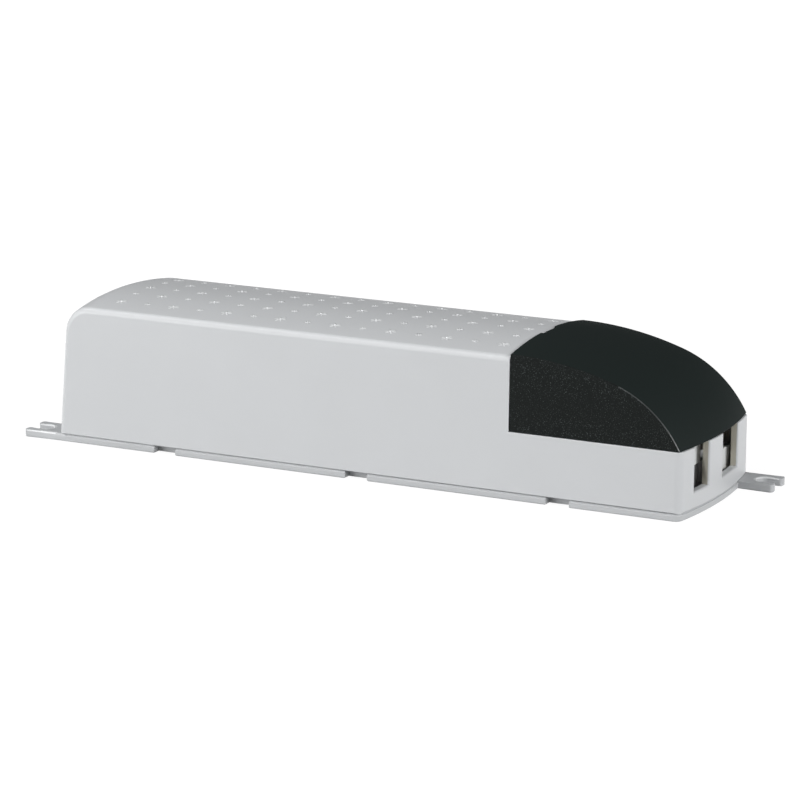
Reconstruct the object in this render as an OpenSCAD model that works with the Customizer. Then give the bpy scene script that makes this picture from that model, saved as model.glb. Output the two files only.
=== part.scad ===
// Electronic transformer for low voltage halogen lamps: a crowned housing on a flat base plate with two
// slotted lugs, a clip-on cover over the terminals, and the circuit board with its parts inside.
// Millimetres. X runs along the length with the cord entries at +X, Z is up, and the origin is at the middle
// of the underside.

/* [Housing] */
// Length of the housing along its sides
body_l = 180; // [172:1:260]
// Width of the housing at its foot
body_w = 48; // [46:1:64]
// Height to the crown of the housing
body_h = 39.4; // [37:0.1:52]
// How far the ends and the top bow out in the middle
crown_rise = 2.14; // [1:0.01:4]
// Wall thickness of the moulded shells
wall = 2; // [1.6:0.1:2.4]
// Lean of the side walls in degrees
side_draft = 0.8; // [0.3:0.1:1.5]
// Radius that turns the top down into the closed end
end_r = 9.8; // [8:0.1:14]
// Radius of the long top edges and of the corners at the closed end
edge_r = 1.8; // [1:0.1:2.6]
// Radius of the corners at the cord end
corner_r = 2.2; // [1:0.1:3]
// Distance from the middle of the length to the seam with the terminal cover
seam_x = 43; // [38:1:48]
// Height of the ledge that the terminal cover stands on
ledge_z = 17.8; // [16:0.1:20]

/* [Ornament] */
// Stars along the top
star_columns = 15; // [8:1:20]
// Stars across the top
star_rows = 5; // [3:1:5]
// Distance between stars along the top
star_pitch_x = 8.04; // [7.5:0.01:9]
// Distance between stars across the top
star_pitch_y = 7.84; // [7.5:0.01:9]
// Size of the large stars from tip to tip
star_large = 3.4; // [2.6:0.1:4.5]
// Size of the small stars from tip to tip
star_small = 2; // [1.6:0.1:2.5]
// Width of an arm of a star
star_arm = 0.5; // [0.4:0.05:0.7]
// Height of the stars above the top
star_rise = 0.2; // [0.1:0.05:0.4]
// Distance from the seam to the middle of the last column of stars
star_margin = 5.1; // [4:0.1:8]

/* [Base plate] */
// Thickness of the base plate and its lugs
base_t = 2; // [1.6:0.1:3]
// Length over the tips of the two lugs
overall_l = 201.4; // [196:0.1:290]
// Width of the slot in a lug, for a 4 mm screw
lug_slot_w = 4.6; // [4.4:0.1:5.2]
// Width of a prong beside the slot
lug_prong_w = 2.7; // [2:0.1:3.5]
// Length of the slot from the tip of the prongs
lug_slot_l = 6; // [5:0.1:7]
// Length of a release notch in the edge of the base plate
notch_l = 6.4; // [6:0.1:9]
// Depth of a release notch
notch_d = 2.6; // [2:0.1:2.8]
// Distance between release notches
notch_pitch = 57; // [50:0.5:60]
// Thickness of the snap hooks on the base plate
hook_t = 1.2; // [1:0.1:1.4]

/* [Terminal cover] */
// Height of the crown of the cover above the crown of the housing
cover_proud = 0.55; // [0.1:0.05:0.8]
// Radius of the back part of the cover from the side
cover_r_back = 92; // [80:1:100]
// Angle that the back part turns through
cover_turn = 18.6; // [17:0.1:20]
// Radius of the front part of the cover from the side
cover_r_front = 33.7; // [31:0.1:34]
// Gap between the cover and the housing
cover_gap = 0.1; // [0.05:0.01:0.2]
// How far the sides of the cover stand back from the sides of the housing
cover_inset = 0.12; // [0:0.01:0.3]
// Width of the thumb notch in the back edge of the cover
thumb_w = 9; // [6:0.5:12]
// Depth of the thumb notch
thumb_d = 0.9; // [0.6:0.1:1.4]

/* [Cord entries] */
// Width of the mains cord entry
mains_entry_w = 8.3; // [7:0.1:9]
// Distance between the mains cord entry and the inside of the side wall
mains_side_room = 5.4; // [5:0.1:6.5]
// Distance between the two cord entries
entry_gap = 8.7; // [8.4:0.1:10]
// Width of the lamp cord entry
lamp_entry_w = 12.5; // [11:0.1:13]
// Height of the sill of both entries
entry_sill_z = 6.3; // [5:0.1:7]

/* [Circuit board] */
// Thickness of the circuit board
board_t = 1.6; // [1:0.1:2]
// Height of the board's posts above the base plate
post_h = 4; // [3.5:0.1:5]
// Diameter of the board's posts
post_d = 6; // [5:0.1:7]
// Diameter of a component lead
lead_d = 0.8; // [0.6:0.05:1]
// Length of a lead below the board
lead_tail = 1.2; // [0.8:0.1:1.6]
// Gap between the board and the walls or hooks beside it
board_gap = 0.5; // [0.3:0.1:1]
// Running clearance of pins, screws and hooks in their holes
fit_gap = 0.15; // [0.1:0.01:0.2]

/* [Terminals] */
// Number of mains terminals
mains_poles = 2; // [2:1:2]
// Distance between mains terminals
mains_pitch = 7; // [6.5:0.1:7.3]
// Number of lamp terminals
lamp_poles = 4; // [2:1:4]
// Distance between lamp terminals
lamp_pitch = 5; // [4.8:0.1:5.5]
// Depth of a terminal block along the cord
terminal_d = 12; // [10:0.5:13]
// Height of a terminal block above the board
terminal_h = 12; // [10:0.5:13]
// Thickness of the partition between mains and lamp terminals
partition_t = 1.6; // [1.2:0.1:2]
// Thread diameter of the terminal screws
terminal_screw_d = 2.5; // [2.4:0.1:2.6]

/* [Cord clamps] */
// Width of a clamp bar along the cord
clamp_w = 4.4; // [4:0.1:4.8]
// Thickness of a clamp bar
clamp_t = 5.6; // [4:0.1:5.8]
// Height of the raised mains clamp bar above the sill
mains_clamp_lift = 5; // [4:0.1:5.2]
// Thread diameter of the clamp screws
clamp_screw_d = 2.2; // [2:0.1:2.4]

/* [Mains filter] */
// Diameter of the fuse tube
fuse_d = 5; // [4:0.1:5.5]
// Length of the fuse
fuse_l = 20; // [18:0.5:21]
// Outer diameter of the filter choke
choke_d = 15; // [13:0.5:16]
// Height of the filter choke core
choke_h = 6.5; // [5:0.5:8]
// Diameter of the surge arrester disc
varistor_d = 10; // [8:0.5:11]
// Length of the mains filter capacitor
filter_cap_l = 16; // [14:0.5:17]
// Height of the mains filter capacitor
filter_cap_h = 14; // [10:0.5:18]
// Width of the mains filter capacitor
filter_cap_w = 8; // [6:0.5:9]

/* [Inverter] */
// Length of the heat sink
sink_l = 36; // [34:1:38]
// Height of the heat sink
sink_h = 23; // [20:1:25]
// Thickness of the heat sink sheet
sink_t = 1.5; // [1:0.1:2]
// Width of the heat sink's foot
sink_foot = 3; // [2.5:0.1:3.5]
// Diameter of the hole in a transistor's tab
tab_hole_d = 3.6; // [3.4:0.1:3.8]
// Outer diameter of the drive ring
drive_d = 12; // [11:0.5:12.5]
// Length of a bridge capacitor
bridge_cap_l = 16; // [14:0.5:17]
// Height of a bridge capacitor
bridge_cap_h = 12; // [10:0.5:16]
// Width of a bridge capacitor
bridge_cap_w = 6.5; // [5:0.5:7]

/* [Output transformer] */
// Outer diameter of the ring core
core_d = 27; // [24:0.5:28]
// Bore of the ring core
core_bore = 15; // [14:0.5:16]
// Height of the ring core
core_h = 12; // [10:0.5:15]
// Thickness of the primary winding on the core
primary_t = 1.2; // [0.8:0.1:1.4]
// Wire diameter of the secondary winding
secondary_d = 1.6; // [1.2:0.1:1.8]
// Turns of the secondary winding
secondary_turns = 11; // [8:1:13]

/* [Hidden] */
$fn = 48;

// A length to the nearest thousandth, so that faces made in different ways meet exactly
function snap(v) = round(v * 1000) / 1000;

// Sizes that follow from the ones above
half_l = body_l / 2;
half_w = body_w / 2;
far = 400;
crown_r = (half_w * half_w + crown_rise * crown_rise) / (2 * crown_rise);
steps = 12;
least_r = 0.4;
// The middle of the crown's arc, seen from the foot of a side wall and in line with that leaning wall
crown_s = half_w * cos(side_draft) - (body_h - crown_r) * sin(side_draft);
crown_v = half_w * sin(side_draft) + (body_h - crown_r) * cos(side_draft);
top_v = half_w * sin(side_draft) + body_h * cos(side_draft);
// Lean of the closed end wall: an angle whose sine and cosine are whole in six digits, for the same reason
end_draft = 3.7103;
end_v = snap(top_v - end_r);
end_x = snap(-half_l - crown_rise + end_r / cos(end_draft) + end_v * tan(end_draft));
end_turn = 90 - end_draft;
bow_x = half_l + crown_rise - crown_r;

board_z = base_t + post_h;
board_top = board_z + board_t;
hook_y = half_w - notch_d - hook_t - fit_gap;
board_w = 2 * (hook_y - board_gap);
board_x0 = -half_l + wall + 3;
bulkhead_t = wall;
bulkhead_x = seam_x - bulkhead_t;
hole_d = lead_d + 2 * fit_gap;
recess_w = 0.6;
recess_depth = 0.7;

// Snap hooks, latches and tabs
hook_l = notch_l - 1.6;
nose_d = 0.5;
nose_h = 1.6;
nose_z = board_top - nose_h - 0.4;
notch_places = [-notch_pitch, 0, notch_pitch];
reveal = 0.3;
rim_t = 1;
rim_h = 1.5;
latch_back = 23;
latch_x = seam_x + latch_back;
latch_l = 6;
latch_z = ledge_z - 6;
latch_root = 6;
tab_w = 6;
tab_t = 1.5;
tab_z = body_h - 9;
tab_places = [-10, 10];
tab_reach = bulkhead_t - 0.4;
tab_root = 3;
lug_w = lug_slot_w + 2 * lug_prong_w;
lug_tip_r = 0.8;

// Terminal cover
back_axis_z = body_h + cover_proud - cover_r_back;
front_axis_x = seam_x + (cover_r_back - cover_r_front) * sin(cover_turn);
front_axis_z = back_axis_z + (cover_r_back - cover_r_front) * cos(cover_turn);
cover_reach = asin((half_w + 2) / crown_r);

// Cord entries and the clamp bars behind them
inner_half_w = side_inside(ledge_z);
mains_entry_y = half_w - wall - mains_side_room - mains_entry_w / 2;
lamp_entry_y = -mains_entry_y + mains_entry_w / 2 + entry_gap + lamp_entry_w / 2;
lamp_side_room = inner_half_w - lamp_entry_y - lamp_entry_w / 2;
clamp_room = min(entry_gap / 2, mains_side_room, lamp_side_room);
pillar_d = clamp_room - 0.4;
mains_reach = mains_entry_w / 2 + clamp_room - 0.2;
lamp_reach = lamp_entry_w / 2 + clamp_room - 0.2;
mains_hole = mains_entry_w / 2 + clamp_room / 2;
lamp_hole = lamp_entry_w / 2 + clamp_room / 2;
clamp_x = end_inside(max(mains_entry_y + mains_reach, lamp_entry_y + lamp_reach)) - clamp_w / 2 - 0.4;
mains_clamp_places = [for (s = [-1, 1]) [clamp_x, -mains_entry_y + s * mains_hole]];
lamp_clamp_places = [for (s = [-1, 1]) [clamp_x, lamp_entry_y + s * lamp_hole]];
mains_boss_z = entry_sill_z - 1.9;
mains_bar_z = entry_sill_z + mains_clamp_lift;
lamp_bar_z = entry_sill_z - 0.9;
clamp_head_d = clamp_screw_d * 1.6;
clamp_head_h = 1.3;

// Terminals, whose row shares its spare width between the side walls as the entries share theirs
terminal_x = seam_x + 3;
terminal_gap = 0.5;
mains_row_w = mains_poles * mains_pitch;
spare_w = 2 * (half_w - wall) - mains_row_w - lamp_poles * lamp_pitch - partition_t - 2 * terminal_gap;
near_spare = spare_w * mains_side_room / (mains_side_room + lamp_side_room);
partition_y = wall - half_w + near_spare + mains_row_w + terminal_gap + partition_t / 2;
mains_block_y = partition_y - partition_t / 2 - terminal_gap - mains_row_w / 2;
lamp_block_y = partition_y + partition_t / 2 + terminal_gap + lamp_poles * lamp_pitch / 2;
block_wall = 0.7;
cage_z = board_top + 1.5;
cage_h = 6.5;
cage_t = 0.7;
cage_roof = 1.2;
block_back = 1.5;
terminal_head_d = terminal_screw_d + 1;
terminal_head_h = 1.6;
terminal_screw_x = terminal_x + terminal_d / 2;
board_x1 = terminal_x + terminal_d + 12;
partition_x = board_x1;

// Columns of parts along the board, spread evenly between the closed end and the bulkhead
clip_w = 6;
clip_t = 0.6;
foot_h = 0.4;
choke_over = 0.8;
winding_gap = 0.1;
core_gap = 0.05;
ring_over = primary_t + winding_gap + secondary_d;
column_l = [clip_w, choke_d + 2 * choke_over, filter_cap_l, sink_l, core_d + 2 * ring_over];
parts_x0 = board_x0 + 1;
parts_x1 = bulkhead_x - 0.5;
column_gap = (parts_x1 - parts_x0 - total(column_l, len(column_l))) / (len(column_l) + 1);
function total(list, n) = n == 0 ? 0 : list[n - 1] + total(list, n - 1);
function gap_middle(k) = parts_x0 + total(column_l, k) + (k + 0.5) * column_gap;
columns = [for (k = [0 : len(column_l) - 1]) gap_middle(k) + (column_gap + column_l[k]) / 2];
fuse_x = columns[0];
choke_x = columns[1];
filter_x = columns[2];
power_x = columns[3];
output_x = columns[4];
edge_y = board_w / 2 - 1;

// Board, posts and screws
bulkhead_gap = 0.3;
board_screw_d = 2.9;
sheet_t = 0.3;
screw_places = [for (x = [columns[0], board_x1 - 4]) for (s = [-1, 1]) [x, s * (board_w / 2 - 4)]];
rest_places = [for (k = [2, 4]) for (s = [-1, 1]) [gap_middle(k), s * (board_w / 2 - post_d / 2)]];
post_places = concat(screw_places, rest_places);

// Places of the parts and their leads
fuse_z = board_top + fuse_d / 2 + 3;
fuse_cap_l = 5;
fuse_clip_y = (fuse_l - fuse_cap_l) / 2;
clip_l = 4;
choke_bore = 0.55 * choke_d;
choke_y = edge_y - choke_d / 2 - choke_over;
varistor_y = -edge_y + varistor_d / 2 + 2;
varistor_t = 4;
filter_y = -edge_y + filter_cap_w / 2;
rectifier_l = 14.5;
rectifier_w = 3.6;
rectifier_h = 10.5;
rectifier_y = edge_y - rectifier_w / 2;
start_cap_d = 6.3;
start_cap_h = 11;
start_y = (rectifier_y + filter_y) / 2;
sink_y = edge_y - sink_foot;
pad_t = 0.2;
tab_t_metal = 1.3;
transistor_w = 10.2;
transistor_t = 4.5;
transistor_body_h = 9.2;
transistor_tab_h = 6.4;
leg_h = 4;
leg_pitch = 2.54;
leg_back = 2.5;
transistor_face = sink_y - sink_t - pad_t;
transistor_x = [power_x - sink_l / 4, power_x + sink_l / 4];
tab_hole_z = board_top + leg_h + transistor_body_h + transistor_tab_h / 2;
tab_screw_d = tab_hole_d - 0.6;
drive_bore = drive_d / 2;
drive_h = 4.5;
drive_over = 0.6;
drive_x = power_x - sink_l / 4;
drive_y = -2;
bridge_cap_y = -edge_y + bridge_cap_w / 2;
bridge_cap_x = [power_x - sink_l / 4, power_x + sink_l / 4];
resistor_d = 3;
resistor_l = 8;
resistor_span = 11;
resistor_z = board_top + resistor_d / 2;
base_resistor_x = power_x + sink_l / 4;
base_resistor_y = [drive_y - 5.5, drive_y - 1, drive_y + 3.5];
cradle_t = 1.2;
core_z = board_top + cradle_t + ring_over;

fuse_leads = [for (s = [-1, 1]) for (t = [-1, 1]) [fuse_x + t * 2, s * fuse_clip_y]];
varistor_leads = [for (s = [-1, 1]) [choke_x, varistor_y + s * 2.5]];
choke_leads = [for (s = [-1, 1]) for (t = [-1, 1])
    [choke_x + s * 3, choke_y + t * (choke_d / 2 + core_gap + lead_d / 2)]];
filter_leads = [for (s = [-1, 1]) [filter_x + s * (filter_cap_l / 2 - 2), filter_y]];
rectifier_leads = [for (k = [-1.5 : 1.5]) [filter_x + k * 3.8, rectifier_y]];
start_cap_leads = [for (s = [-1, 1]) [filter_x - 3.5 + s * 1.25, start_y]];
start_resistor_x = [filter_x + 3, filter_x + 6.5];
start_resistor_leads = [for (x = start_resistor_x) for (s = [-1, 1]) [x, start_y + s * resistor_span / 2]];
diac_y = drive_y + 8;
diac_leads = [for (s = [-1, 1]) [base_resistor_x + s * 4, diac_y]];
drive_lead_r = drive_d / 2 + core_gap + lead_d / 2;
drive_leads = [for (k = [0 : 5]) let (a = 60 * k + 20)
    [drive_x + drive_lead_r * cos(a), drive_y + drive_lead_r * sin(a)]];
transistor_leads = [for (x = transistor_x) for (k = [-1, 0, 1])
    [x + k * leg_pitch, transistor_face - leg_back]];
base_resistor_leads = [for (y = base_resistor_y) for (s = [-1, 1])
    [base_resistor_x + s * resistor_span / 2, y]];
bridge_cap_leads = [for (x = bridge_cap_x) for (s = [-1, 1])
    [x + s * (bridge_cap_l / 2 - 2), bridge_cap_y]];
cutout_x = output_x - core_d / 2 + 1;
cutout_y = -edge_y + 2.5;
cutout_leads = [for (s = [-1, 1]) [cutout_x + s * 1.27, cutout_y]];
turn_bend = 0.6 * secondary_d;
turn_w = (core_d - core_bore) / 2 + 2 * (primary_t + winding_gap) + secondary_d;
turn_h = core_h + 2 * (primary_t + winding_gap) + secondary_d;
ring_r = (core_d + core_bore) / 4 + turn_w / 2;
lead_angle = 180 / secondary_turns;
primary_lead_r = core_d / 2 + core_gap + lead_d / 2;
primary_a = [for (k = [0, 1]) 2 * lead_angle * (round(45 / lead_angle) + k)];
end_lap = 2;
primary_turn = 360 - primary_a[1] + primary_a[0] + 2 * end_lap;
primary_leads = [for (a = primary_a) [output_x + primary_lead_r * cos(a), primary_lead_r * sin(a)]];
secondary_leads = [for (s = [-1, 1]) [output_x + ring_r * cos(lead_angle), s * ring_r * sin(lead_angle)]];
mains_pole_y = pole_places(mains_block_y, mains_poles, mains_pitch);
lamp_pole_y = pole_places(lamp_block_y, lamp_poles, lamp_pitch);
terminal_pins = [for (y = concat(mains_pole_y, lamp_pole_y)) for (s = [-1, 1])
    [terminal_screw_x + s * terminal_d / 5, y]];
all_leads = concat(fuse_leads, varistor_leads, choke_leads, filter_leads, rectifier_leads, start_cap_leads,
    start_resistor_leads, diac_leads, drive_leads, transistor_leads, base_resistor_leads, bridge_cap_leads,
    cutout_leads, primary_leads, terminal_pins);

function pole_places(y, poles, pitch) = [for (k = [0 : poles - 1]) y + (k - (poles - 1) / 2) * pitch];

// The outline of a crowned form from its straight side, round the corner and along the wide arc
function shoulder(inset, radius, arc_s, arc_v, arc_r, reach) =
    let (r = max(radius - inset, least_r),
        big = arc_r - inset,
        v = arc_v + sqrt(pow(big - r, 2) - pow(arc_s - inset - r, 2)),
        turn = atan2(v - arc_v, inset + r - arc_s),
        last = acos((reach - arc_s) / big))
    concat(
        [for (k = [0 : steps / 2]) let (a = 180 + (turn - 180) * k / (steps / 2))
            [snap(inset + r + r * cos(a)), snap(v + r * sin(a))]],
        [for (k = [1 : steps]) let (a = turn + (last - turn) * k / steps)
            [snap(arc_s + big * cos(a)), snap(arc_v + big * sin(a))]]);

// One half of the housing's section, standing on the level low
function section(inset, low) =
    concat([[half_w + 1, low], [inset, low]], shoulder(inset, edge_r, crown_s, crown_v, crown_r, half_w + 1));

// The section swept along the top, round the closed end and down to the foot
module swept_half(inset) {
    translate([end_x, 0, 0]) rotate([90, 0, 90])
        linear_extrude(half_l + crown_rise - end_x) polygon(section(inset, -1));
    translate([end_x, 0, end_v]) rotate([0, -90, -90]) rotate([0, 0, -end_turn])
        rotate_extrude(angle = end_turn) polygon([for (p = section(inset, end_v)) [p[1] - end_v, p[0]]]);
    translate([end_x, 0, end_v]) rotate([0, -end_turn, 0]) translate([-body_h - end_r, 0, -end_v])
        rotate([90, 0, 90]) linear_extrude(body_h + end_r) polygon(section(inset, end_v - end_r));
}

// The bowed cord end in plan, round its corner into the side
module end_plan_half(inset) {
    outline = shoulder(inset, corner_r, half_w, bow_x, crown_r, half_w + 1);
    polygon(concat([[-far, half_w + 1], [-far, inset]], [for (p = outline) [p[1], p[0]]]));
}

// Everything inside the housing's outer face, moved in by inset, between two levels
module envelope(inset, low, high) {
    for (side = [0, 1]) mirror([0, side, 0]) intersection() {
        translate([0, -half_w, 0]) rotate([-side_draft, 0, 0]) swept_half(inset);
        translate([0, -half_w, 0]) rotate([-side_draft, 0, 0]) translate([0, 0, -wall])
            linear_extrude(body_h + 2 * wall) end_plan_half(inset);
        translate([-far, -far, low]) cube([2 * far, far, high - low]);
    }
}

// How far the inside of a side wall is from the centre line at a level
function side_inside(z) = half_w - wall - z * tan(side_draft);

// Where the inside of the bowed end wall is at a distance from the centre line
function end_inside(y) = bow_x + sqrt(pow(crown_r - wall, 2) - y * y);

module slab(x0, x1, y0, y1, z0, z1) {
    translate([x0, y0, z0]) cube([x1 - x0, y1 - y0, z1 - z0]);
}

module both_sides() {
    children();
    mirror([0, 1, 0]) children();
}

// A round pin or hole standing on a level
module rod(x, y, z0, z1, d) {
    translate([x, y, z0]) cylinder(d = d, h = z1 - z0);
}

// Pan head screw with a cross recess, its head's underside at the origin and its shank pointing down
module screw(d, head_d, head_h, l) {
    difference() {
        union() {
            cylinder(d = head_d, h = head_h);
            translate([0, 0, -l]) cylinder(d = d, h = l + 0.1);
        }
        for (a = [0, 90]) rotate([0, 0, a])
            translate([-head_d / 3, -recess_w / 2, head_h - recess_depth])
                cube([head_d / 1.5, recess_w, far]);
    }
}

// Shells

module entry(y, w) {
    slab(half_l - wall - 2, far, y - w / 2, y + w / 2, entry_sill_z, ledge_z + 1);
}

// Star with six arms, as an outline round its centre
function star(size) =
    let (arm = [[size / 2, -star_arm / 2], [size / 2, star_arm / 2], [star_arm * cos(30), star_arm / 2]])
    [for (k = [0 : 5]) for (p = arm) let (a = 60 * k)
        [p[0] * cos(a) - p[1] * sin(a), p[0] * sin(a) + p[1] * cos(a)]];

// Raised stars along the top, large and small by turns
module star_field() {
    intersection() {
        translate([0, 0, body_h - crown_r]) rotate([0, 90, 0])
            cylinder(r = crown_r + star_rise, h = body_l, center = true);
        for (i = [0 : star_columns - 1]) for (j = [0 : star_rows - 1]) {
            y = (j - (star_rows - 1) / 2) * star_pitch_y;
            root = crown_z(abs(y) + star_large / 2) - wall / 4;
            translate([seam_x - star_margin - i * star_pitch_x, y, root]) linear_extrude(body_h + 1 - root)
                polygon(star((star_columns - 1 - i + j) % 2 == 0 ? star_large : star_small));
        }
    }
}

// Height of the crown at a distance from the centre line
function crown_z(y) = body_h - crown_r + sqrt(crown_r * crown_r - y * y);

module housing() {
    color("gainsboro") difference() {
        union() {
            difference() {
                envelope(0, base_t, body_h + 1);
                envelope(wall, base_t - 1, body_h + 1);
            }
            intersection() {
                envelope(wall / 2, board_top + bulkhead_gap, body_h + 1);
                slab(bulkhead_x, seam_x, -far, far, 0, far);
            }
            slab(bulkhead_x, partition_x, partition_y - partition_t / 2, partition_y + partition_t / 2,
                board_top + bulkhead_gap, ledge_z - 1);
            star_field();
        }
        slab(seam_x, far, -far, far, ledge_z, far);
        entry(-mains_entry_y, mains_entry_w);
        entry(lamp_entry_y, lamp_entry_w);
        for (x = notch_places) nose_pockets(x, hook_l, nose_z);
        nose_pockets(latch_x, latch_l, latch_z);
        for (y = tab_places) slab(bulkhead_x - 1, seam_x + 1, y - tab_w / 2 - fit_gap,
            y + tab_w / 2 + fit_gap, tab_z - fit_gap, tab_z + tab_t + fit_gap);
    }
}

// Pockets in the two side walls for the noses of hooks or latches
module nose_pockets(x, l, z) {
    both_sides() slab(x - l / 2 - fit_gap, x + l / 2 + fit_gap, side_inside(z) - wall,
        side_inside(z) + nose_d + fit_gap, z - fit_gap, z + nose_h + fit_gap);
}

module base_plate() {
    color("lightgray") difference() {
        union() {
            envelope(0, 0, base_t - reveal);
            envelope(reveal, 0, base_t);
            lug();
            rotate([0, 0, 180]) lug();
            both_sides() for (x = notch_places) snap_hook(x);
            for (p = post_places) rod(p[0], p[1], base_t / 2, board_z, post_d);
            for (p = mains_clamp_places) rod(p[0], p[1], base_t / 2, mains_boss_z, pillar_d);
            for (p = lamp_clamp_places) rod(p[0], p[1], base_t / 2, lamp_bar_z, pillar_d);
            locating_rim();
        }
        both_sides() for (x = notch_places)
            slab(x - notch_l / 2, x + notch_l / 2, half_w - notch_d, far, -1, base_t + 1);
        for (p = screw_places) rod(p[0], p[1], base_t / 2, far, board_screw_d + 2 * fit_gap);
        for (p = concat(mains_clamp_places, lamp_clamp_places))
            rod(p[0], p[1], base_t / 2, far, clamp_screw_d + 2 * fit_gap);
    }
}

// Lug at the closed end, with a slot open towards its tip
module lug() {
    tip = -overall_l / 2;
    mid_y = -half_w + lug_prong_w + lug_slot_w / 2;
    slot_end = tip + lug_slot_l - lug_slot_w / 2;
    difference() {
        union() {
            slab(tip + lug_tip_r, -half_l + corner_r, -half_w, -half_w + lug_w, 0, base_t);
            for (y = [-half_w, -half_w + lug_w - lug_prong_w]) {
                slab(tip, -half_l, y + lug_tip_r, y + lug_prong_w - lug_tip_r, 0, base_t);
                rod(tip + lug_tip_r, y + lug_tip_r, 0, base_t, 2 * lug_tip_r);
                rod(tip + lug_tip_r, y + lug_prong_w - lug_tip_r, 0, base_t, 2 * lug_tip_r);
            }
        }
        rod(slot_end, mid_y, -1, base_t + 1, lug_slot_w);
        slab(tip - 1, slot_end, mid_y - lug_slot_w / 2, mid_y + lug_slot_w / 2, -1, base_t + 1);
    }
}

// Upright hook inside the side wall, with its nose in the wall's pocket
module snap_hook(x) {
    root = -hook_y - hook_t / 2;
    tip = -side_inside(nose_z) - nose_d;
    slab(x - hook_l / 2, x + hook_l / 2, hook_y, hook_y + hook_t, base_t / 2, nose_z + nose_h);
    translate([x + hook_l / 2, 0, 0]) rotate([90, 0, -90]) linear_extrude(hook_l)
        polygon([[root, nose_z], [tip, nose_z], [tip, nose_z + nose_h / 3], [root, nose_z + nose_h]]);
}

// Low rim that centres the housing on the plate, broken at the notches
module locating_rim() {
    difference() {
        envelope(wall + fit_gap, base_t / 2, base_t + rim_h);
        envelope(wall + fit_gap + rim_t, 0, base_t + rim_h + 1);
        both_sides() for (x = notch_places) slab(x - notch_l, x + notch_l, 0, far, base_t, far);
    }
}

// Section of the cover's top: distance from the axis it turns about and place across, down to a level
function cover_section(radius, inset, low) =
    let (big = crown_r - inset,
        run = [for (k = [-steps : steps]) let (a = cover_reach * k / steps)
            [radius - crown_r + big * cos(a), big * sin(a)]])
    concat(run, [[low, run[2 * steps][1]], [low, run[0][1]]]);

// Back and front arcs of the cover joined smoothly, each a turn of the crowned section
module cover_arcs(inset) {
    translate([seam_x, 0, back_axis_z]) rotate([0, -90, -90])
        rotate_extrude(angle = cover_turn) polygon(cover_section(cover_r_back, inset, 1));
    translate([front_axis_x, 0, front_axis_z]) rotate([0, -90, -90]) rotate([0, 0, cover_turn])
        rotate_extrude(angle = 80 - cover_turn) polygon(cover_section(cover_r_front, inset, 0));
}

module cover_form(inset, x0, low) {
    intersection() {
        cover_arcs(inset);
        translate([x0, 0, 0]) rotate([90, 0, 90]) linear_extrude(half_l)
            polygon([for (s = [-1, 1]) for (z = s < 0 ? [low, body_h + 2] : [body_h + 2, low])
                [s * (half_w - z * tan(side_draft) - cover_inset - inset), z]]);
    }
}

module terminal_cover() {
    color("darkslategray") difference() {
        union() {
            difference() {
                cover_form(0, seam_x + cover_gap, ledge_z + cover_gap);
                cover_form(wall, seam_x, 0);
            }
            both_sides() latch();
            for (y = tab_places - tab_w / 2 * [1, 1]) {
                slab(seam_x - tab_reach, seam_x + tab_root, y, y + tab_w, tab_z, tab_z + tab_t);
                slab(seam_x + cover_gap, seam_x + tab_root, y, y + tab_w, tab_z, body_h - wall / 2);
            }
        }
        slab(seam_x - 1, seam_x + cover_gap + thumb_d, -thumb_w / 2, thumb_w / 2, body_h - 2 * wall, far);
    }
}

// Latch on the inside of the cover's side wall, with its nose in the tray's pocket
module latch() {
    x0 = latch_x - latch_l / 2;
    x1 = latch_x + latch_l / 2;
    outer = side_inside(ledge_z) - fit_gap;
    root = -outer + hook_t / 2;
    tip = -side_inside(latch_z) - nose_d;
    top_z = ledge_z + latch_root;
    slab(x0, x1, outer - hook_t, outer, latch_z, top_z);
    slab(x0, x1, outer - hook_t, outer + wall / 2, ledge_z + cover_gap, top_z);
    translate([x1, 0, 0]) rotate([90, 0, -90]) linear_extrude(latch_l)
        polygon([[root, latch_z], [root, latch_z + nose_h],
            [tip, latch_z + nose_h], [tip, latch_z + nose_h / 2]]);
}

// Board and what holds it

module circuit_board() {
    color("peru") difference() {
        slab(board_x0, board_x1, -board_w / 2, board_w / 2, board_z, board_top);
        for (p = screw_places) rod(p[0], p[1], 0, far, board_screw_d + 4 * fit_gap);
        for (p = all_leads) rod(p[0], p[1], 0, far, hole_d);
        for (p = secondary_leads) rod(p[0], p[1], 0, far, secondary_d + 2 * fit_gap);
    }
}

module board_screws() {
    color("silver") for (p = screw_places) translate([p[0], p[1], board_top])
        screw(board_screw_d, board_screw_d * 1.9, board_screw_d * 0.6, board_top - base_t);
}

module insulating_sheet() {
    color("ivory") difference() {
        slab(board_x0, board_x1, -hook_y + board_gap, hook_y - board_gap, base_t, base_t + sheet_t);
        for (p = post_places) rod(p[0], p[1], 0, far, post_d + 4 * fit_gap);
    }
}

// Leads from below the board up to a level
module leads(places, top) {
    for (p = places) rod(p[0], p[1], board_z - lead_tail, top, lead_d);
}

// Terminals

// Moulded block with a pocket for the cage and a screw well over each pole
module terminal_block(poles, pitch) {
    w = pitch - 2 * block_wall;
    difference() {
        slab(terminal_x, terminal_x + terminal_d, poles[0] - pitch / 2, poles[len(poles) - 1] + pitch / 2,
            board_top, board_top + terminal_h);
        for (y = poles) {
            slab(terminal_x + block_back, far, y - w / 2, y + w / 2, cage_z, cage_z + cage_h + fit_gap);
            rod(terminal_screw_x, y, cage_z, far, terminal_head_d + 2 * fit_gap);
        }
    }
}

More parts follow.
